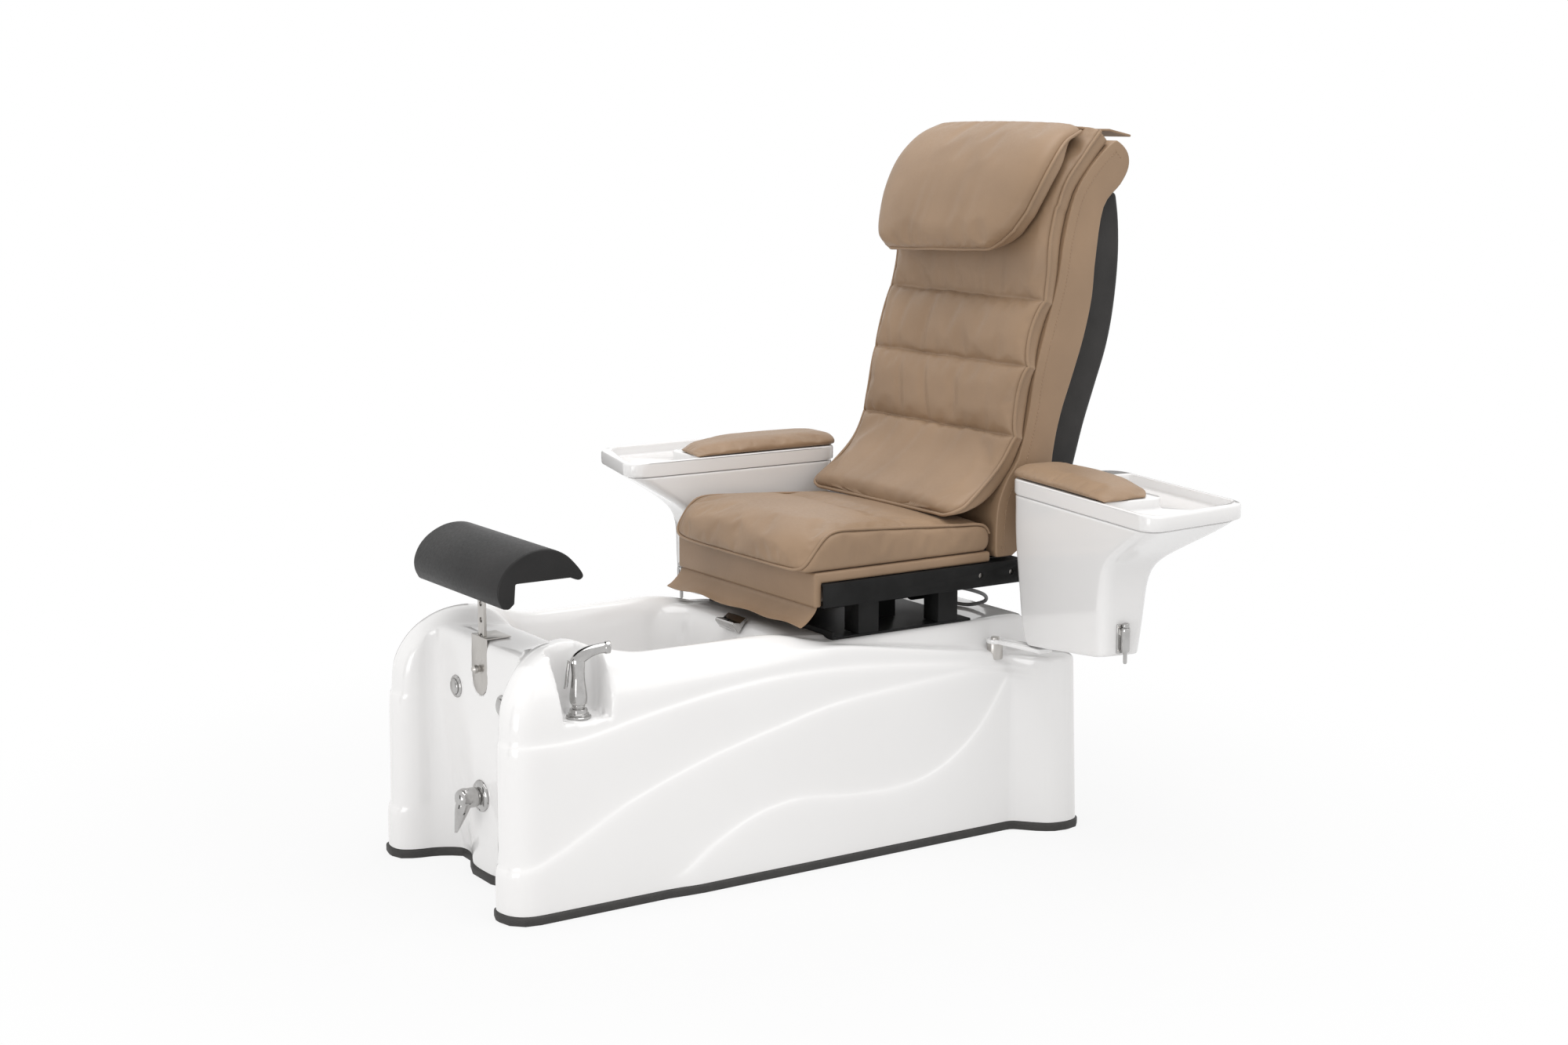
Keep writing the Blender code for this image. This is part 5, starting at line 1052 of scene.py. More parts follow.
def fold(x, at, depth, width):
    """A soft crease at one place across, with a low ridge beside it."""
    ridge = 0.55 * math.exp(-((x - at - 1.7 * width) / width) ** 2)
    return depth * (ridge - math.exp(-((x - at) / width) ** 2))


def cushion_ring(half, bead, low, front, place_point):
    """A cushion section in (across, out): a full front face between two border beads, sides and a flat rear.
    The first FACE_STEPS + 1 of its points are the front face."""
    ring = []
    for k in range(FACE_STEPS + 1):
        share = 2 * k / FACE_STEPS - 1
        share = 0.5 * share + 0.5 * math.sin(math.pi / 2 * share)
        full = math.sqrt(max(1 - abs(share) ** 14, 0.0))
        ring.append(place_point(half * share, bead + (front(half * share) - bead) * full))
    for k in range(1, SIDE_STEPS + 1):
        ring.append(place_point(half - 0.001, bead + (low - bead) * k / SIDE_STEPS))
    for k in range(1, REAR_STEPS):
        ring.append(place_point((half - 0.001) * (1 - 2 * k / REAR_STEPS), low))
    for k in range(SIDE_STEPS):
        ring.append(place_point(0.001 - half, low + (bead - low) * k / SIDE_STEPS))
    return ring


def held_points(ring, sewn):
    """The points of a section that can't move: all of them at a seam, elsewhere its sides and rear."""
    return ring if sewn else ring[FACE_STEPS:] + ring[:1]


def border_line(rings, inset):
    """A cushion's border, down its left side, across its foot and up its right side."""
    foot = rings[0][inset:FACE_STEPS + 1 - inset:4]
    edge = [ring[0] for ring in reversed(rings)] + foot + [ring[FACE_STEPS] for ring in rings]
    return spaced(smooth_path(edge, 2), PIPING_STEP)


def stations_along(length, marks):
    """Places along a length, close together near the marks."""
    places = [0.0]
    while places[-1] < length:
        gap = min(abs(places[-1] - m) for m in marks)
        step = FINE_STEP + (COARSE_STEP - FINE_STEP) * ease(0.3 * FINE_REACH, FINE_REACH, gap)
        ahead = [m for m in marks if places[-1] + SAME_SPOT < m < places[-1] + 1.5 * step]
        places.append(ahead[0] if ahead else min(places[-1] + step, length))
    return places


def even_path(points):
    """A smooth line at x = 0 through (y, z) stations, as evenly spaced points, and its length."""
    path = spaced(side_view(points, 40), PATH_STEP)
    return path, PATH_STEP * (len(path) - 1)


def path_place(path, place):
    """The point at a place along an even path, and the way out of the cushion there."""
    return framed(path, min(round(place / PATH_STEP), len(path) - 1))


# Each row is (panel's top fold x, bottom fold x, depth, width): panels are counted from the foot
OVERLAY_FOLDS = (
    ((-0.020, -0.085, 0.0020, 0.012), (-0.115, -0.150, 0.0014, 0.010), (0.10, 0.06, 0.0010, 0.014)),
    ((-0.065, -0.019, 0.0042, 0.010), (-0.147, -0.114, 0.0030, 0.010), (-0.243, -0.228, 0.0020, 0.008),
     (0.06, 0.075, 0.0012, 0.013), (0.17, 0.185, 0.0010, 0.010)),
    ((-0.225, -0.215, 0.0022, 0.009), (-0.160, -0.175, 0.0026, 0.010), (-0.075, -0.095, 0.0026, 0.012),
     (0.015, -0.005, 0.0018, 0.012), (0.115, 0.095, 0.0012, 0.012)),
    ((-0.20, -0.22, 0.0020, 0.010), (-0.10, -0.115, 0.0020, 0.010), (-0.02, -0.035, 0.0018, 0.010),
     (0.08, 0.055, 0.0022, 0.011), (0.15, 0.125, 0.0012, 0.010)),
)


def panel_at(place, marks):
    """The panel that a place along the overlay is in, and how far up that panel it is."""
    panel = max(n for n in range(len(marks) - 1) if marks[n] <= place + 1e-7)
    return panel, min((place - marks[panel]) / (marks[panel + 1] - marks[panel]), 1.0)


OVERLAY_FOOT_R = 0.022
OVERLAY_CORNER_R = 0.040
OVERLAY_CORNER_IN = 0.036
PANEL_SWELL = 0.012
FOLD_GAIN = 1.3
# Depth of what a seam does, and the distance over which it fades
GATHER_ABOVE = (0.0046, 0.022)
GATHER_BELOW = (0.0056, 0.026)
SEAM_STRAY = (0.0035, 0.030)
SEAM_CREASE = (0.005, 0.0045)


def fading(effect, distance):
    depth, reach = effect
    return depth * math.exp(-abs(distance) / reach)


def back_overlay():
    path, length = even_path(OVERLAY)
    marks = [length * share for share in OVERLAY_SEAMS]
    rings, pins = [], []
    for place in stations_along(length, marks[1:-1]):
        panel, up = panel_at(place, marks)
        spot, out = path_place(path, place)
        along = Vector((0, out.z, -out.y))
        swell = max(1 - abs(2 * up - 1) ** 3, 0.0) ** 0.6
        bump = math.sin(math.pi * up) ** 0.6 if 0 < up < 1 else 0.0
        foot = round_end(place, OVERLAY_FOOT_R)
        corner = round_end(place, OVERLAY_CORNER_R)
        if panel == 0 and up < 0.5:
            swell, bump = max(swell, 1.0), max(bump, 0.6)
        if panel == 3 and up > 0.5:
            swell, bump = max(swell, 0.8), 0.8
        half = BACK_W / 2 + 0.003 - 0.009 * bump - OVERLAY_CORNER_IN * (1 - corner)
        bead = -0.008 + 0.011 * bump - 0.004 * (1 - foot)
        low = -OVERLAY_T * 0.585 * ease(-0.03, 0.12, place / length) - 0.006
        seam = min(range(1, 4), key=lambda n: abs(place - marks[n]))
        off = place - marks[seam]
        gather = fading(GATHER_ABOVE if off >= 0 else GATHER_BELOW, off)
        stray = fading(SEAM_STRAY, off)
        crease = fading(SEAM_CREASE, off)

        def front(x):
            inside = 1 - min(abs(x) / 0.262, 1.0) ** 6
            ruck = noise.noise(Vector((x * 36, seam * 5.1, 0.3)))
            ruck += 0.6 * noise.noise(Vector((x * 85, seam * 3.7, 4.4)))
            folds = sum(fold(x, b + (a - b) * up, depth, width)
                        for a, b, depth, width in OVERLAY_FOLDS[panel])
            lie = math.sin(math.pi * min(max(up, 0.0), 1.0)) if panel else ease(0.35, 0.95, up)
            wrinkle = gather * ruck + FOLD_GAIN * folds * (0.35 + 0.65 * lie)
            face = 0.002 + PANEL_SWELL * swell - crease + inside * wrinkle
            return bead + (face - bead) * foot

        def placed(x, rise):
            aside = stray * noise.noise(Vector((11 * x, seam, 2.0)))
            return spot + out * rise + along * aside + Vector((x, 0, 0))

        rings.append(cushion_ring(half, bead, low, front, placed))
        sewn = min(abs(place - m) for m in marks[1:-1]) < SAME_SPOT or place in (0.0, length)
        pins += held_points(rings[-1], sewn)
    stuffed("back_overlay_cover", rings, pins, "backrest", ["back_overlay"], 0.012)
    corded = [p + Vector((PIPING_PROUD * p.x / (BACK_W / 2), 0, 0)) for p in border_line(rings, 6)]
    tube("overlay_piping", corded, BACK_PIPING_R, "tan_leather", "backrest")


# Half widths of the pillow from its foot to its top
PILLOW_LEFT = [(0.0, 0.200), (0.03, 0.225), (0.08, 0.245), (0.16, 0.256), (0.30, 0.262), (0.46, 0.266),
               (0.66, 0.266), (0.90, 0.252), (1.0, 0.242)]
PILLOW_RIGHT = [(0.0, 0.140), (0.02, 0.158), (0.06, 0.180), (0.13, 0.208), (0.26, 0.240), (0.46, 0.260),
                (0.66, 0.266), (0.90, 0.252), (1.0, 0.242)]
PILLOW_MIDDLE_Z = 1.33
PILLOW_TILT = 0.040
PILLOW_FOLDS = ((-0.090, 0.0016, 0.012), (-0.055, 0.0012, 0.010), (0.045, 0.0016, 0.014),
                (0.10, 0.0009, 0.012))
PILLOW_FOOT_R = 0.035


def head_pillow():
    """The stuffed flap over the top of the back, hung slightly askew."""
    path, length = even_path(PILLOW)
    rings, pins = [], []
    for place in stations_along(length, [0.0, length]):
        t = place / length
        spot, out = path_place(path, place)
        foot = round_end(place, PILLOW_FOOT_R)
        over = ease(0.62, 1.0, t)
        low = -0.004 - 0.036 * foot * (1 - over)
        bead = -0.006 * foot
        left, right = through(t, PILLOW_LEFT), through(t, PILLOW_RIGHT)

        def front(x):
            folds = sum(fold(x, at, depth, width) for at, depth, width in PILLOW_FOLDS)
            lie = ease(0.0, 0.12, t) * (1 - ease(0.25, 0.6, t))
            return bead + foot * (0.026 - 0.012 * over + 0.006 * (1 - (x / 0.27) ** 2) + folds * lie)

        def placed(x, rise):
            tip = PILLOW_TILT * (1 - over)
            aside = x + (right - left) / 2 - tip * (spot.z - PILLOW_MIDDLE_Z)
            return spot + out * rise + Vector((aside, 0, tip * x))

        rings.append(cushion_ring((left + right) / 2, bead, low, front, placed))
        pins += held_points(rings[-1], place in (0.0, length))
    stuffed("head_pillow_cover", rings, pins, "backrest", ["head_pillow"], 0.010)
    corded = [p + Vector((PIPING_PROUD * p.x / (BACK_W / 2), 0, 0.0012 * noise.noise(p * 16) - 0.001))
              for p in border_line(rings, 4)]
    tube("pillow_piping", corded, BACK_PIPING_R, "tan_leather", "backrest")


def pillow_strap():
    half = BACK_W / 2 - STRAP_IN
    work = rounded(prism(STRAP, "x", -half, half), 0.0015, 2, 25)
    made = finished("pillow_strap_tab", work, "tan_leather", "backrest", ["pillow_strap"], 30)


def back_body():
    """The upholstered body of the backrest, with a row of stitches along each side."""
    outline = [(p.y, p.z) for p in side_view(BODY_FRONT + BODY_TOP + BODY_REAR)]
    work = rounded(prism(outline, "x", -BACK_W / 2, BACK_W / 2), 0.016, 5, 60)
    made = finished("back_body_cover", work, "tan_leather", "backrest", ["back_body"], 60)
    carved(made, prism(WING, "x", -WING_X, WING_X))
    shaded(made.data, 40)
    front = side_view(BODY_FRONT + BODY_TOP[:3])
    line = []
    for k in range(len(front)):
        spot, out = framed(front, k)
        line.append(spot - out * STITCH_IN)
    for side, x in (("left", -BACK_W / 2), ("right", BACK_W / 2)):
        row = spaced([Vector((x, p.y, p.z)) for p in line], STITCH_GAP)
        thread = bmesh.new()
        for a, b in zip(row, row[1:]):
            stitch = bmesh.ops.create_uvsphere(thread, u_segments=8, v_segments=6, radius=STITCH_R)["verts"]
            turn = (b - a).normalized().to_track_quat("Z", "X").to_matrix()
            for vert in stitch:
                vert.co = a + turn @ Vector((vert.co.x, vert.co.y, vert.co.z * STITCH_LONG))
        finished(side + "_back_stitches", thread, "tan_leather", "backrest", sharp=180)


def back_shell():
    shell_front = [(y + 0.0009, z) for y, z in BODY_REAR[1:7]]
    rear = [(p.y, p.z) for p in side_view(SHELL_REAR)]
    line = [(0.775, 1.300)] + shell_front + [(0.640, 0.655)] + rear
    work = rounded(prism(line, "x", -SHELL_W / 2, SHELL_W / 2), 0.014, 5, 40)
    finished("back_shell_moulding", work, "black_plastic", "backrest", ["back_shell"], 40)


# Arms, shaped closed on the right: the left ones are mirrored and the right ones swung open

def arm_placed(work, side):
    if side < 0:
        bmesh.ops.scale(work, verts=work.verts[:], vec=(-1, 1, 1))
    else:
        bmesh.ops.rotate(work, verts=work.verts[:], cent=ARM_PIVOT, matrix=Matrix.Rotation(ARM_OPEN, 3, "Z"))
    return work


ARM_L = 0.533
ARM_W = 0.265
ARM_SLANT = 0.070
ARM_TOP_Z = 0.745
CONSOLE_TOP = 0.714
CONSOLE_FOOT_Z = 0.406
CONSOLE_LEVEL_A = 0.12
CONSOLE_RISE = 0.14
LEG_FRONT_A = 0.362
REAR_OVER = 0.014
ARM_PAD_L = 0.36
ARM_PAD_W = 0.150
PAD_OVER = 0.019
PAD_RINGS = 56
PAD_BLUNT = 0.035
PAD_VOXEL = 0.004
TRAY_CORNER = 0.050
TRAY_DEPTH = 0.022
TRAY_BORDER = 0.010
TRAY_REAR_A = 0.05
# Insets and heights of the tray's rounded rim
TRAY_RIM = ((0.004, CONSOLE_TOP), (0.001, CONSOLE_TOP + 0.0015), (0.0, CONSOLE_TOP + 0.005),
            (0.0, ARM_TOP_Z - 0.006), (0.0015, ARM_TOP_Z - 0.002), (0.005, ARM_TOP_Z))
LATCH_X = ARM_X + 0.050
LATCH_Z = 0.472
LATCH_OUT = 0.011
LATCH_PLATE_T = 0.003
LATCH_PLATE = [(-0.014, -0.024), (0.014, -0.024), (0.014, 0.034), (-0.014, 0.034)]
LATCH_SCREWS = ((-0.0105, -0.018), (0.0105, -0.018), (-0.0105, 0.028), (0.0105, 0.028))
LATCH_BARREL = [(0.0045, -0.020), (0.0078, -0.020), (0.0086, -0.018), (0.009, -0.014), (0.009, 0.022),
                (0.0086, 0.026), (0.0078, 0.028), (0.0045, 0.028), (0.0045, -0.020)]
LATCH_PIN = [(0, -0.044), (0.0025, -0.044), (0.004, -0.041), (0.004, 0.0283), (0.0065, 0.0283),
             (0.0072, 0.030), (0.0072, 0.033), (0.006, 0.0365), (0.003, 0.038), (0, 0.038)]
SCREW_HEAD = [(0, -0.0018), (0.0012, -0.0018), (0.0024, -0.0008), (0.0026, 0.0), (0, 0.0)]


def arm_ring(rear, front_in, front_out, width, radius, height, points=9):
    """A rounded outline in plan: a runs forward from the arm's rear end, b outward from its inner face."""
    corners = [(rear, 0.0), (front_in, 0.0), (front_out, width), (rear, width)]
    ring = []
    for k, corner in enumerate(corners):
        here = Vector(corner)
        before = here + (Vector(corners[k - 1]) - here).normalized() * radius
        after = here + (Vector(corners[(k + 1) % 4]) - here).normalized() * radius
        for i in range(points):
            t = i / (points - 1)
            spot = before * (1 - t) ** 2 + here * 2 * t * (1 - t) + after * t * t
            level = height(spot.x) if callable(height) else height
            ring.append(Vector((ARM_X + spot.y, ARM_REAR_Y - spot.x, level)))
    return ring


def arm_console(name, side):
    def foot(up):
        return lambda a: CONSOLE_FOOT_Z + max(a - CONSOLE_LEVEL_A, 0.0) * CONSOLE_RISE + up
    front = LEG_FRONT_A
    lip = ARM_L - ARM_SLANT
    levels = ((0.068, front, front, 0.092, 0.022, foot(0.0)),
              (0.060, front, front, 0.093, 0.022, foot(0.004)),
              (0.040, front, front, 0.098, 0.024, foot(0.028)), (0.022, front, front, 0.108, 0.026, 0.535),
              (0.006, front + 0.010, front - 0.012, 0.122, 0.028, 0.612),
              (-0.001, 0.400, 0.372, 0.170, 0.034, 0.642),
              (-0.006, 0.446, 0.405, 0.206, 0.040, 0.668), (-0.010, 0.490, 0.437, 0.240, 0.046, 0.694),
              (0.0005 - REAR_OVER, ARM_L - 0.010, lip - 0.010, ARM_W - 0.009, 0.049, CONSOLE_TOP - 0.003),
              (-REAR_OVER, ARM_L - 0.006, lip - 0.006, ARM_W - 0.006, 0.050, CONSOLE_TOP - 0.0003))
    work = arm_placed(loft([arm_ring(*level) for level in levels]), side)
    made = finished(name + "_console_moulding", work, "acrylic", name + "_arm", [name + "_arm_console"], 60)
    subdivided(made, 2)


def arm_tray(name, side):
    high, lip = ARM_TOP_Z, ARM_L - ARM_SLANT
    rear = -REAR_OVER - 0.004
    rings = [arm_ring(rear + i, ARM_L - i, lip - i, ARM_W - i, TRAY_CORNER, z) for i, z in TRAY_RIM]
    made = finished(name + "_tray_moulding", arm_placed(loft(rings), side), "acrylic", name + "_arm",
                    [name + "_arm_tray"], 50)
    far_a, far_b, outer_b = ARM_PAD_L - 0.015, ARM_PAD_W + 0.004, ARM_W - TRAY_BORDER
    outline = [(TRAY_REAR_A, outer_b), (TRAY_REAR_A, far_b), (far_a - 0.02, far_b), (far_a, far_b - 0.02),
               (far_a, TRAY_BORDER), (ARM_L - 0.040, TRAY_BORDER), (ARM_L - 0.018, 0.030),
               (lip - 0.014, ARM_W - 0.040), (lip - 0.040, outer_b)]
    hollow = prism([(ARM_X + b, ARM_REAR_Y - a) for a, b in outline], "z", high - TRAY_DEPTH, high + 0.02)
    upright = [e for e in hollow.edges if abs(e.verts[0].co.z - e.verts[1].co.z) > 0.01]
    bevelled(hollow, upright, 0.010, 5)
    bevelled(hollow, [e for e in hollow.edges if max(v.co.z for v in e.verts) < high - 0.02], 0.005, 3)
    carved(made, arm_placed(hollow, side))
    work = opened(made.data)
    rim = [e for e in sharp_edges(work, 55) if min(v.co.z for v in e.verts) > high - 0.001]
    bevelled(work, rim, 0.003, 3)
    stored(work, made.data)
    shaded(made.data, 40)


def arm_pad(name, side):
    """A low pad that tapers to its front end, which is cut on a slant."""
    rings = []
    for k in range(PAD_RINGS + 1):
        t = k / PAD_RINGS
        a = -PAD_OVER + (ARM_PAD_L + PAD_OVER) * t
        blunt = round_end(a + PAD_OVER, PAD_BLUNT)
        narrow = 0.58 + 0.42 * blunt
        full = (0.45 + 0.55 * blunt) * math.sqrt(ease(0, 0.12, 1 - t + 0.006))
        belly = 0.80 + 0.20 * math.sin(math.pi * (0.15 + 0.75 * t))
        width = ARM_PAD_W * belly * (0.86 + 0.14 * full) * narrow
        high = 0.022 * (0.25 + 0.75 * full) * (1 - 0.35 * ease(0.55, 1.0, t))
        slant = 0.22 * ease(0.55, 1.0, t) + 0.06 * (1 - ease(0, 0.2, t))
        middle = width / 2 / narrow

        def placed(x, up):
            return Vector((ARM_X + 0.002 + middle + x, ARM_REAR_Y - a + slant * (x + width / 2),
                           ARM_TOP_Z + 0.0003 + up))

        rings.append(section_ring(width / 2, high, 0.007 * full, 0.006 * full, placed))
    pillowed(name + "_pad_cover", arm_placed(loft(rings), side), name + "_arm", [name + "_arm_pad"], [],
             lambda p: p.z < ARM_TOP_Z + 0.005, PAD_VOXEL, PAD_PRESSURE, 0.003, 8.0)


def latch(name, side):
    """A barrel bolt on the console's front face: its plate with the barrel, and the sprung bolt."""
    arm = name + "_arm"
    face_y = ARM_REAR_Y - LEG_FRONT_A - 0.0003
    spot = Vector((LATCH_X, face_y - LATCH_OUT, LATCH_Z))
    outline = [(LATCH_X + across, LATCH_Z + up) for across, up in LATCH_PLATE]
    plate = rounded(prism(outline, "y", face_y - LATCH_PLATE_T, face_y), 0.0012, 3)
    finished(name + "_latch_plate", arm_placed(plate, side), "chrome", arm, [name + "_latch_housing"], 30)
    finished(name + "_latch_barrel", arm_placed(turned(LATCH_BARREL, spot), side), "chrome", arm, sharp=30)
    finished(name + "_latch_pin", arm_placed(turned(LATCH_PIN, spot), side), "chrome", name + "_latch",
             [name + "_latch_bolt"], 30)
    for k, (across, up) in enumerate(LATCH_SCREWS):
        screw = turned(SCREW_HEAD, (LATCH_X + across, face_y - LATCH_PLATE_T, LATCH_Z + up), "y", 20)
        finished(f"{name}_latch_screw_{k}", arm_placed(screw, side), "stainless", arm, sharp=40)


# Footrest and its controls

FOOT_W = 0.370
FOOT_UNDER = 0.623
FOOT_SECTION = [(-0.602, 0.578), (-0.611, 0.598), (-0.611, 0.621), (-0.598, 0.647), (-0.574, 0.668),
                (-0.540, 0.682), (-0.502, 0.683), (-0.470, 0.670), (-0.447, 0.649), (-0.431, 0.626),
                (-0.440, 0.617), (-0.458, FOOT_UNDER)]
FOOT_HOLLOW = [(-0.468, FOOT_UNDER), (-0.574, FOOT_UNDER), (-0.577, 0.586), (-0.588, 0.576)]
# Turned outlines of (radius, distance along the axis)
FAUCET_PLATE = [(0.0095, -0.0085), (0.020, -0.0085), (0.0245, -0.0078), (0.029, -0.0058), (0.0315, -0.003),
                (0.032, -0.0003), (0.0095, -0.0003), (0.0095, -0.0085)]
FAUCET_HUB = [(0, -0.0535), (0.008, -0.053), (0.014, -0.0512), (0.0182, -0.0472), (0.0198, -0.042),
              (0.020, -0.016), (0.0185, -0.011), (0.0165, -0.0088), (0, -0.0088)]
BUTTON_RING = [(0.0165, -0.0042), (0.0195, -0.0042), (0.0215, -0.0034), (0.0228, -0.0016), (0.023, -0.0003),
               (0.0165, -0.0003), (0.0165, -0.0042)]
BUTTON_CAP = [(0, -0.0095), (0.006, -0.0094), (0.011, -0.0089), (0.0145, -0.0078), (0.0158, -0.0064),
              (0.016, -0.005), (0.016, 0.014), (0, 0.014)]
SPRAYER_FLANGE = [(0.0115, 0.0003), (0.0235, 0.0003), (0.0242, 0.0014), (0.0242, 0.003), (0.0232, 0.0042),
                  (0.020, 0.005), (0.0195, 0.0062), (0.0202, 0.0075), (0.0198, 0.0088), (0.0178, 0.0098),
                  (0.017, 0.012), (0.0172, 0.0155), (0.016, 0.0175), (0.0115, 0.018), (0.0115, 0.0003)]
SPRAYER_GRIP = [(0, 0.002), (0.011, 0.002), (0.011, 0.0205), (0.0125, 0.0215), (0.0128, 0.0235),
                (0.0122, 0.0252), (0.0148, 0.0268), (0.0164, 0.031), (0.0169, 0.037), (0.0166, 0.045),
                (0.0152, 0.055), (0.0136, 0.066), (0.0126, 0.077), (0.0125, 0.088), (0.0132, 0.099),
                (0.0134, 0.107), (0.0122, 0.114), (0.0095, 0.119), (0.005, 0.1215), (0, 0.122)]
# The faucet's claw: drop, half width and distance in front of the panel
FAUCET_CLAW = [(0.019, 0.009, -0.036), (0.008, 0.017, -0.0365), (-0.006, 0.0185, -0.038),
               (-0.022, 0.0165, -0.0425), (-0.040, 0.0115, -0.048), (-0.055, 0.0068, -0.053),
               (-0.065, 0.0035, -0.0565)]
CLAW_DEPTH = 0.82
CLAW_LEAST = 0.0028
# The sprayer's nozzle: reach, height and radius
NOZZLE = [(-0.009, 0.103, 0.0085), (-0.001, 0.111, 0.0118), (0.010, 0.119, 0.0124), (0.024, 0.126, 0.0112),
          (0.040, 0.130, 0.0104), (0.050, 0.131, 0.0108), (0.0535, 0.1313, 0.0122), (0.0605, 0.1318, 0.0122),
          (0.062, 0.132, 0.0106)]
# The sprayer's trigger: height, half depth and reach behind the grip
TRIGGER = [(0.0575, 0.0016, 0.0092), (0.060, 0.0030, 0.0072), (0.066, 0.0034, 0.0056),
           (0.085, 0.0034, 0.0035), (0.102, 0.0031, 0.0008), (0.1075, 0.0026, 0.0004),
           (0.110, 0.0014, 0.0014)]
TRIGGER_BEHIND = 0.017
TRIGGER_HALF_W = 0.0052
LEAN = Vector((0.30, 0.954, 0)).normalized()
ACROSS = Vector((0.954, -0.30, 0)).normalized()
UP = Vector((0, 0, 1))


def calf_rest():
    outline = [(p.y, p.z) for p in side_view(FOOT_SECTION, 5)] + FOOT_HOLLOW
    work = rounded(prism(outline, "x", -FOOT_W / 2, FOOT_W / 2), 0.007, 4, 50)
    made = finished("calf_rest_cover", work, "black_vinyl", "footrest", ["footrest_pad"], 50)


def faucet():
    plate, hub = (turned(profile, FAUCET, "y", 64) for profile in (FAUCET_PLATE, FAUCET_HUB))
    finished("faucet_plate", plate, "chrome", "base", ["faucet_escutcheon"], 35)
    finished("faucet_hub", hub, "chrome", "faucet_handle", ["faucet_lever"], 40)
    rings = []
    for drop, width, shift in smooth_path(FAUCET_CLAW, 5):
        depth = max(width * CLAW_DEPTH, CLAW_LEAST)
        rings.append([Vector((width * math.cos(a), FAUCET.y + shift + depth * math.sin(a), FAUCET.z + drop))
                      for a in turns(32)])
    finished("faucet_claw", loft(rings), "chrome", "faucet_handle", sharp=50)


def push_button(name, side):
    spot = Vector((side * BUTTON_X, PANEL_Y, BUTTON_Z))
    bezel, cap = (turned(profile, spot, "y", 64) for profile in (BUTTON_RING, BUTTON_CAP))
    finished(name + "_button_ring", bezel, "chrome", "base", [name + "_button_bezel"], 35)
    finished(name + "_button_cap", cap, "chrome", name + "_push_button", [name + "_button"], 35)


def sprayer():
    holder, grip = (turned(profile, SPRAYER, "z", 56) for profile in (SPRAYER_FLANGE, SPRAYER_GRIP))
    finished("sprayer_flange", holder, "chrome", "base", ["sprayer_holder"], 35)
    finished("sprayer_grip", grip, "chrome", "sprayer", ["hand_sprayer"], 35)
    rings = []
    for reach, rise, radius in smooth_path(NOZZLE, 4):
        slope = 0.9 - 0.9 * ease(0.0, 0.045, reach)
        over = ACROSS.cross((LEAN + UP * slope).normalized())
        centre = SPRAYER + LEAN * reach + UP * rise
        rings.append([centre + (ACROSS * math.cos(a) + over * math.sin(a)) * radius for a in turns(36)])
    finished("sprayer_nozzle", loft(rings), "chrome", "sprayer", sharp=40)
    rings = []
    for rise, depth, reach in smooth_path(TRIGGER, 5):
        centre = SPRAYER - LEAN * TRIGGER_BEHIND - LEAN * reach + UP * rise
        rings.append([centre + LEAN * (depth * math.sin(a)) + ACROSS * (TRIGGER_HALF_W * math.cos(a))
                      for a in turns(24)])
    finished("sprayer_pull", loft(rings), "chrome", "trigger", ["sprayer_trigger"], 50)


actuator_lead()
slide_web()
seat_cushion()
seat_panel()
seat_skirt()
back_overlay()
head_pillow()
pillow_strap()
back_body()
back_shell()
for arm_name, arm_side in (("left", -1), ("right", 1)):
    arm_console(arm_name, arm_side)
    arm_tray(arm_name, arm_side)
    arm_pad(arm_name, arm_side)
    latch(arm_name, arm_side)
    push_button(arm_name, arm_side)
calf_rest()
faucet()
sprayer()


# Stage, light and camera

FLOOR_HALF = 30
FLOOR_NEAR = 0.7
FLOOR_FAR = 1.9
FLOOR_SHARE = 0.86
WORLD_TINT = (1.0, 0.99, 0.98, 1)
WORLD_STRENGTH = 0.85
WORLD_IN_GLOSS = 0.8
FLAG_FOOT = 0.02
FLAG_H = 1.2
CAMERA_SPOT = (4.10140, -2.56028, 1.5)
CAMERA_DOWN = 9.8757
CAMERA_TURN = 56.6
CAMERA_LENS = 54.954
CAMERA_SENSOR = 36


def worked(tree, how, first, second):
    return add(tree, "ShaderNodeMath", {0: first, 1: second}, operation=how).outputs[0]


def mixed_out(tree, share, shader, other, output):
    """Two shaders mixed by a share, led to the tree's output."""
    mixed = add(tree, "ShaderNodeMixShader", {0: share, 1: shader.outputs[0], 2: other.outputs[0]})
    tree.links.new(mixed.outputs[0], tree.nodes[output].inputs["Surface"])


def stage_floor():
    work = bmesh.new()
    bmesh.ops.create_grid(work, x_segments=1, y_segments=1, size=FLOOR_HALF)
    mesh = stored(work, bpy.data.meshes.new("studio_floor"))
    made, tree, shader = begin("studio_paper", 0.9)
    grain = speckle(tree, object_spot(tree), 3.0)
    wire(tree, shader, tinted(tree, grain, (0.62, 0.62, 0.62), (0.64, 0.64, 0.64)))
    path = add(tree, "ShaderNodeLightPath").outputs
    seen = worked(tree, "MAXIMUM", path["Is Camera Ray"], path["Is Glossy Ray"])
    seen = worked(tree, "MAXIMUM", seen, path["Is Transmission Ray"])
    reach = add(tree, "ShaderNodeVectorMath", {0: object_spot(tree)}, operation="LENGTH").outputs["Value"]
    far = add(tree, "ShaderNodeMapRange", {"Value": reach, "From Min": FLOOR_NEAR, "From Max": FLOOR_FAR,
                                           "To Min": FLOOR_SHARE, "To Max": 1.0},
              interpolation_type="SMOOTHSTEP")
    share = worked(tree, "MULTIPLY", seen, far.outputs["Result"])
    white = add(tree, "ShaderNodeEmission", {"Color": (1, 1, 1, 1), "Strength": 1.0})
    mixed_out(tree, share, shader, white, "Material Output")
    mesh.materials.append(made)
    floor = linked("studio_floor", mesh)


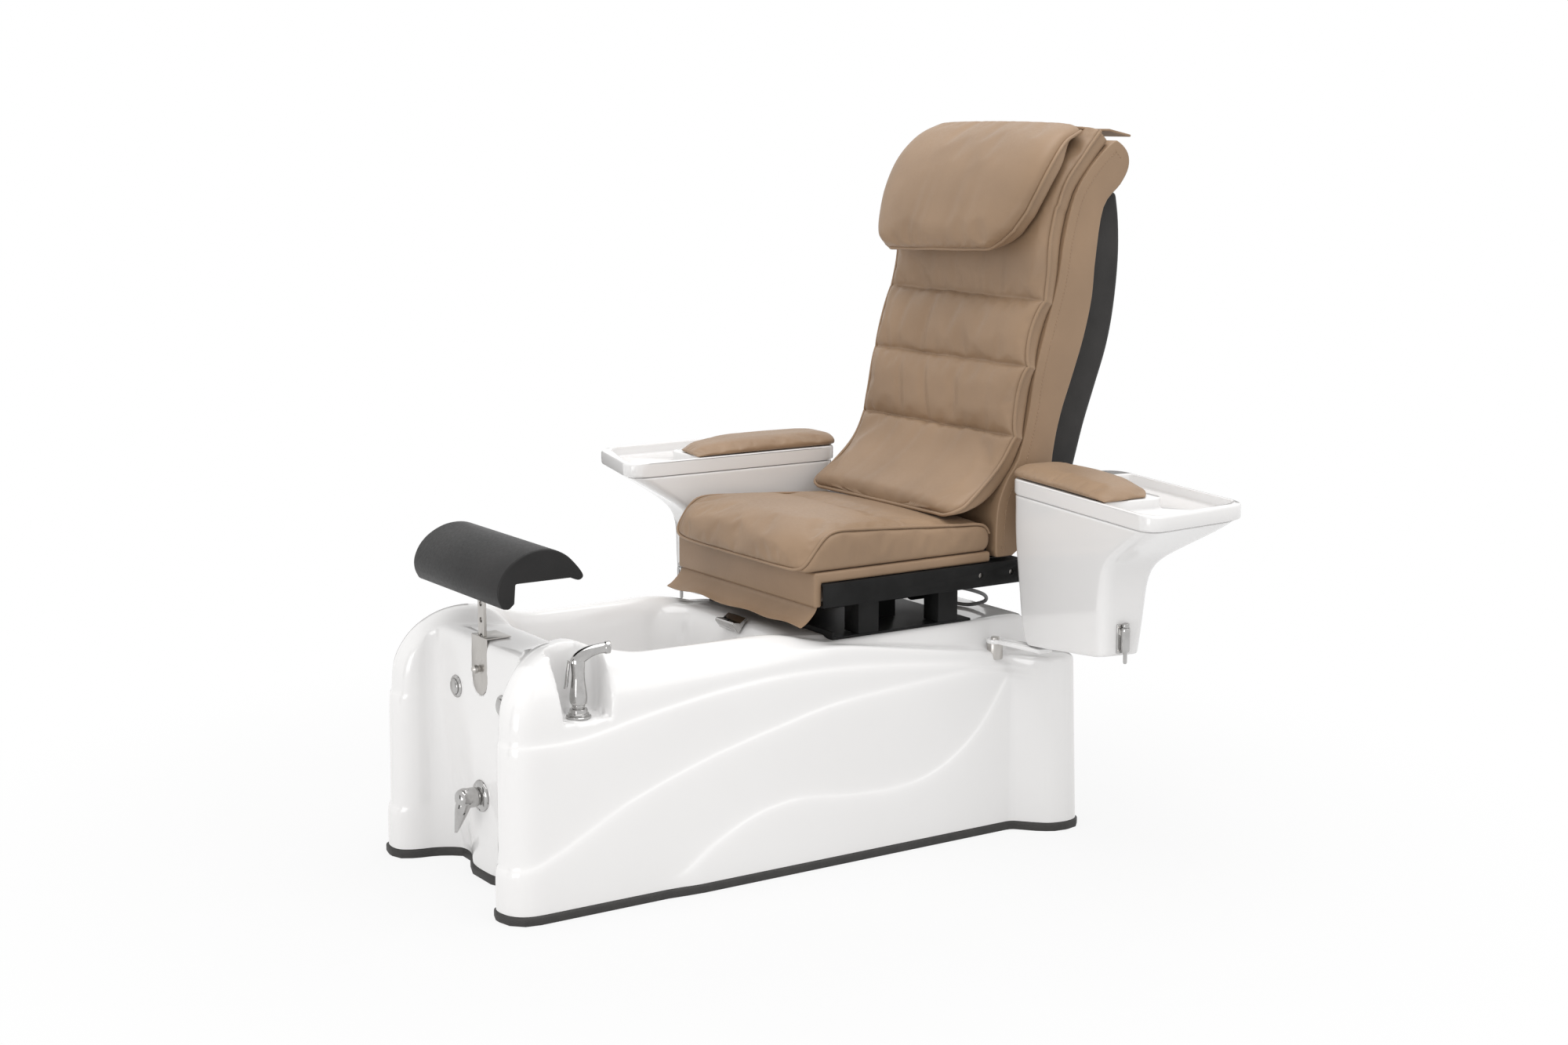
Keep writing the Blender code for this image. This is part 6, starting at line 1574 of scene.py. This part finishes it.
def studio_world():
    world = bpy.data.worlds.new("studio")
    scene.world = world
    world.use_nodes = True
    tree = world.node_tree
    soft = tree.nodes["Background"]
    soft.inputs["Color"].default_value = WORLD_TINT
    soft.inputs["Strength"].default_value = WORLD_STRENGTH
    white = add(tree, "ShaderNodeBackground", {"Color": (1, 1, 1, 1), "Strength": 1.0})
    path = add(tree, "ShaderNodeLightPath").outputs
    seen = worked(tree, "MAXIMUM", path["Is Camera Ray"], path["Is Transmission Ray"])
    glossy = worked(tree, "MULTIPLY", path["Is Glossy Ray"], WORLD_IN_GLOSS)
    mixed_out(tree, worked(tree, "MAXIMUM", seen, glossy), soft, white, "World Output")


def softbox(name, spot, target, size, power):
    lamp = bpy.data.lights.new(name, "AREA")
    lamp.shape = "RECTANGLE"
    lamp.size, lamp.size_y = size
    lamp.energy = power
    made = linked(name, lamp)
    made.location = spot
    made.rotation_euler = (Vector(target) - Vector(spot)).to_track_quat("-Z", "Y").to_euler()


def dark_flag(name, spot, width):
    """A black card beside the set that only gloss sees, so that plated metal has dark lines in it."""
    across = Vector((-spot[1], spot[0], 0)).normalized() * (width / 2)
    foot = Vector((*spot, FLAG_FOOT))
    rise = Vector((0, 0, FLAG_H))
    work = bmesh.new()
    corners = [foot - across, foot + across, foot + across + rise, foot - across + rise]
    bmesh.ops.contextual_create(work, geom=[work.verts.new(p) for p in corners])
    made = linked(name, stored(work, bpy.data.meshes.new(name)))
    coated(made.data, "black_plastic")
    made.visible_camera = made.visible_diffuse = made.visible_shadow = made.visible_transmission = False


def studio_camera():
    lens = bpy.data.cameras.new("photo_camera")
    lens.sensor_width = CAMERA_SENSOR
    lens.lens = CAMERA_LENS
    made = linked("photo_camera", lens)
    made.location = CAMERA_SPOT
    made.rotation_euler = (math.radians(90 - CAMERA_DOWN), 0, math.radians(CAMERA_TURN))
    scene.camera = made


stage_floor()
studio_world()
softbox("top_box", (0.9, 0.3, 6.0), (0, 0, 0.5), (5.0, 5.0), 185)
softbox("front_box", (1.2, -3.7, 0.6), (0, -0.6, 0.3), (2.0, 1.2), 25)
softbox("side_box", (3.6, 1.2, 2.7), (0.1, 0.3, 0.9), (2.0, 2.4), 11)
dark_flag("front_flag", (-0.55, -2.60), 0.55)
dark_flag("far_flag", (-1.17, 2.20), 1.0)
dark_flag("left_flag", (-2.50, 0.10), 1.0)
studio_camera()
scene.view_settings.view_transform = "Standard"
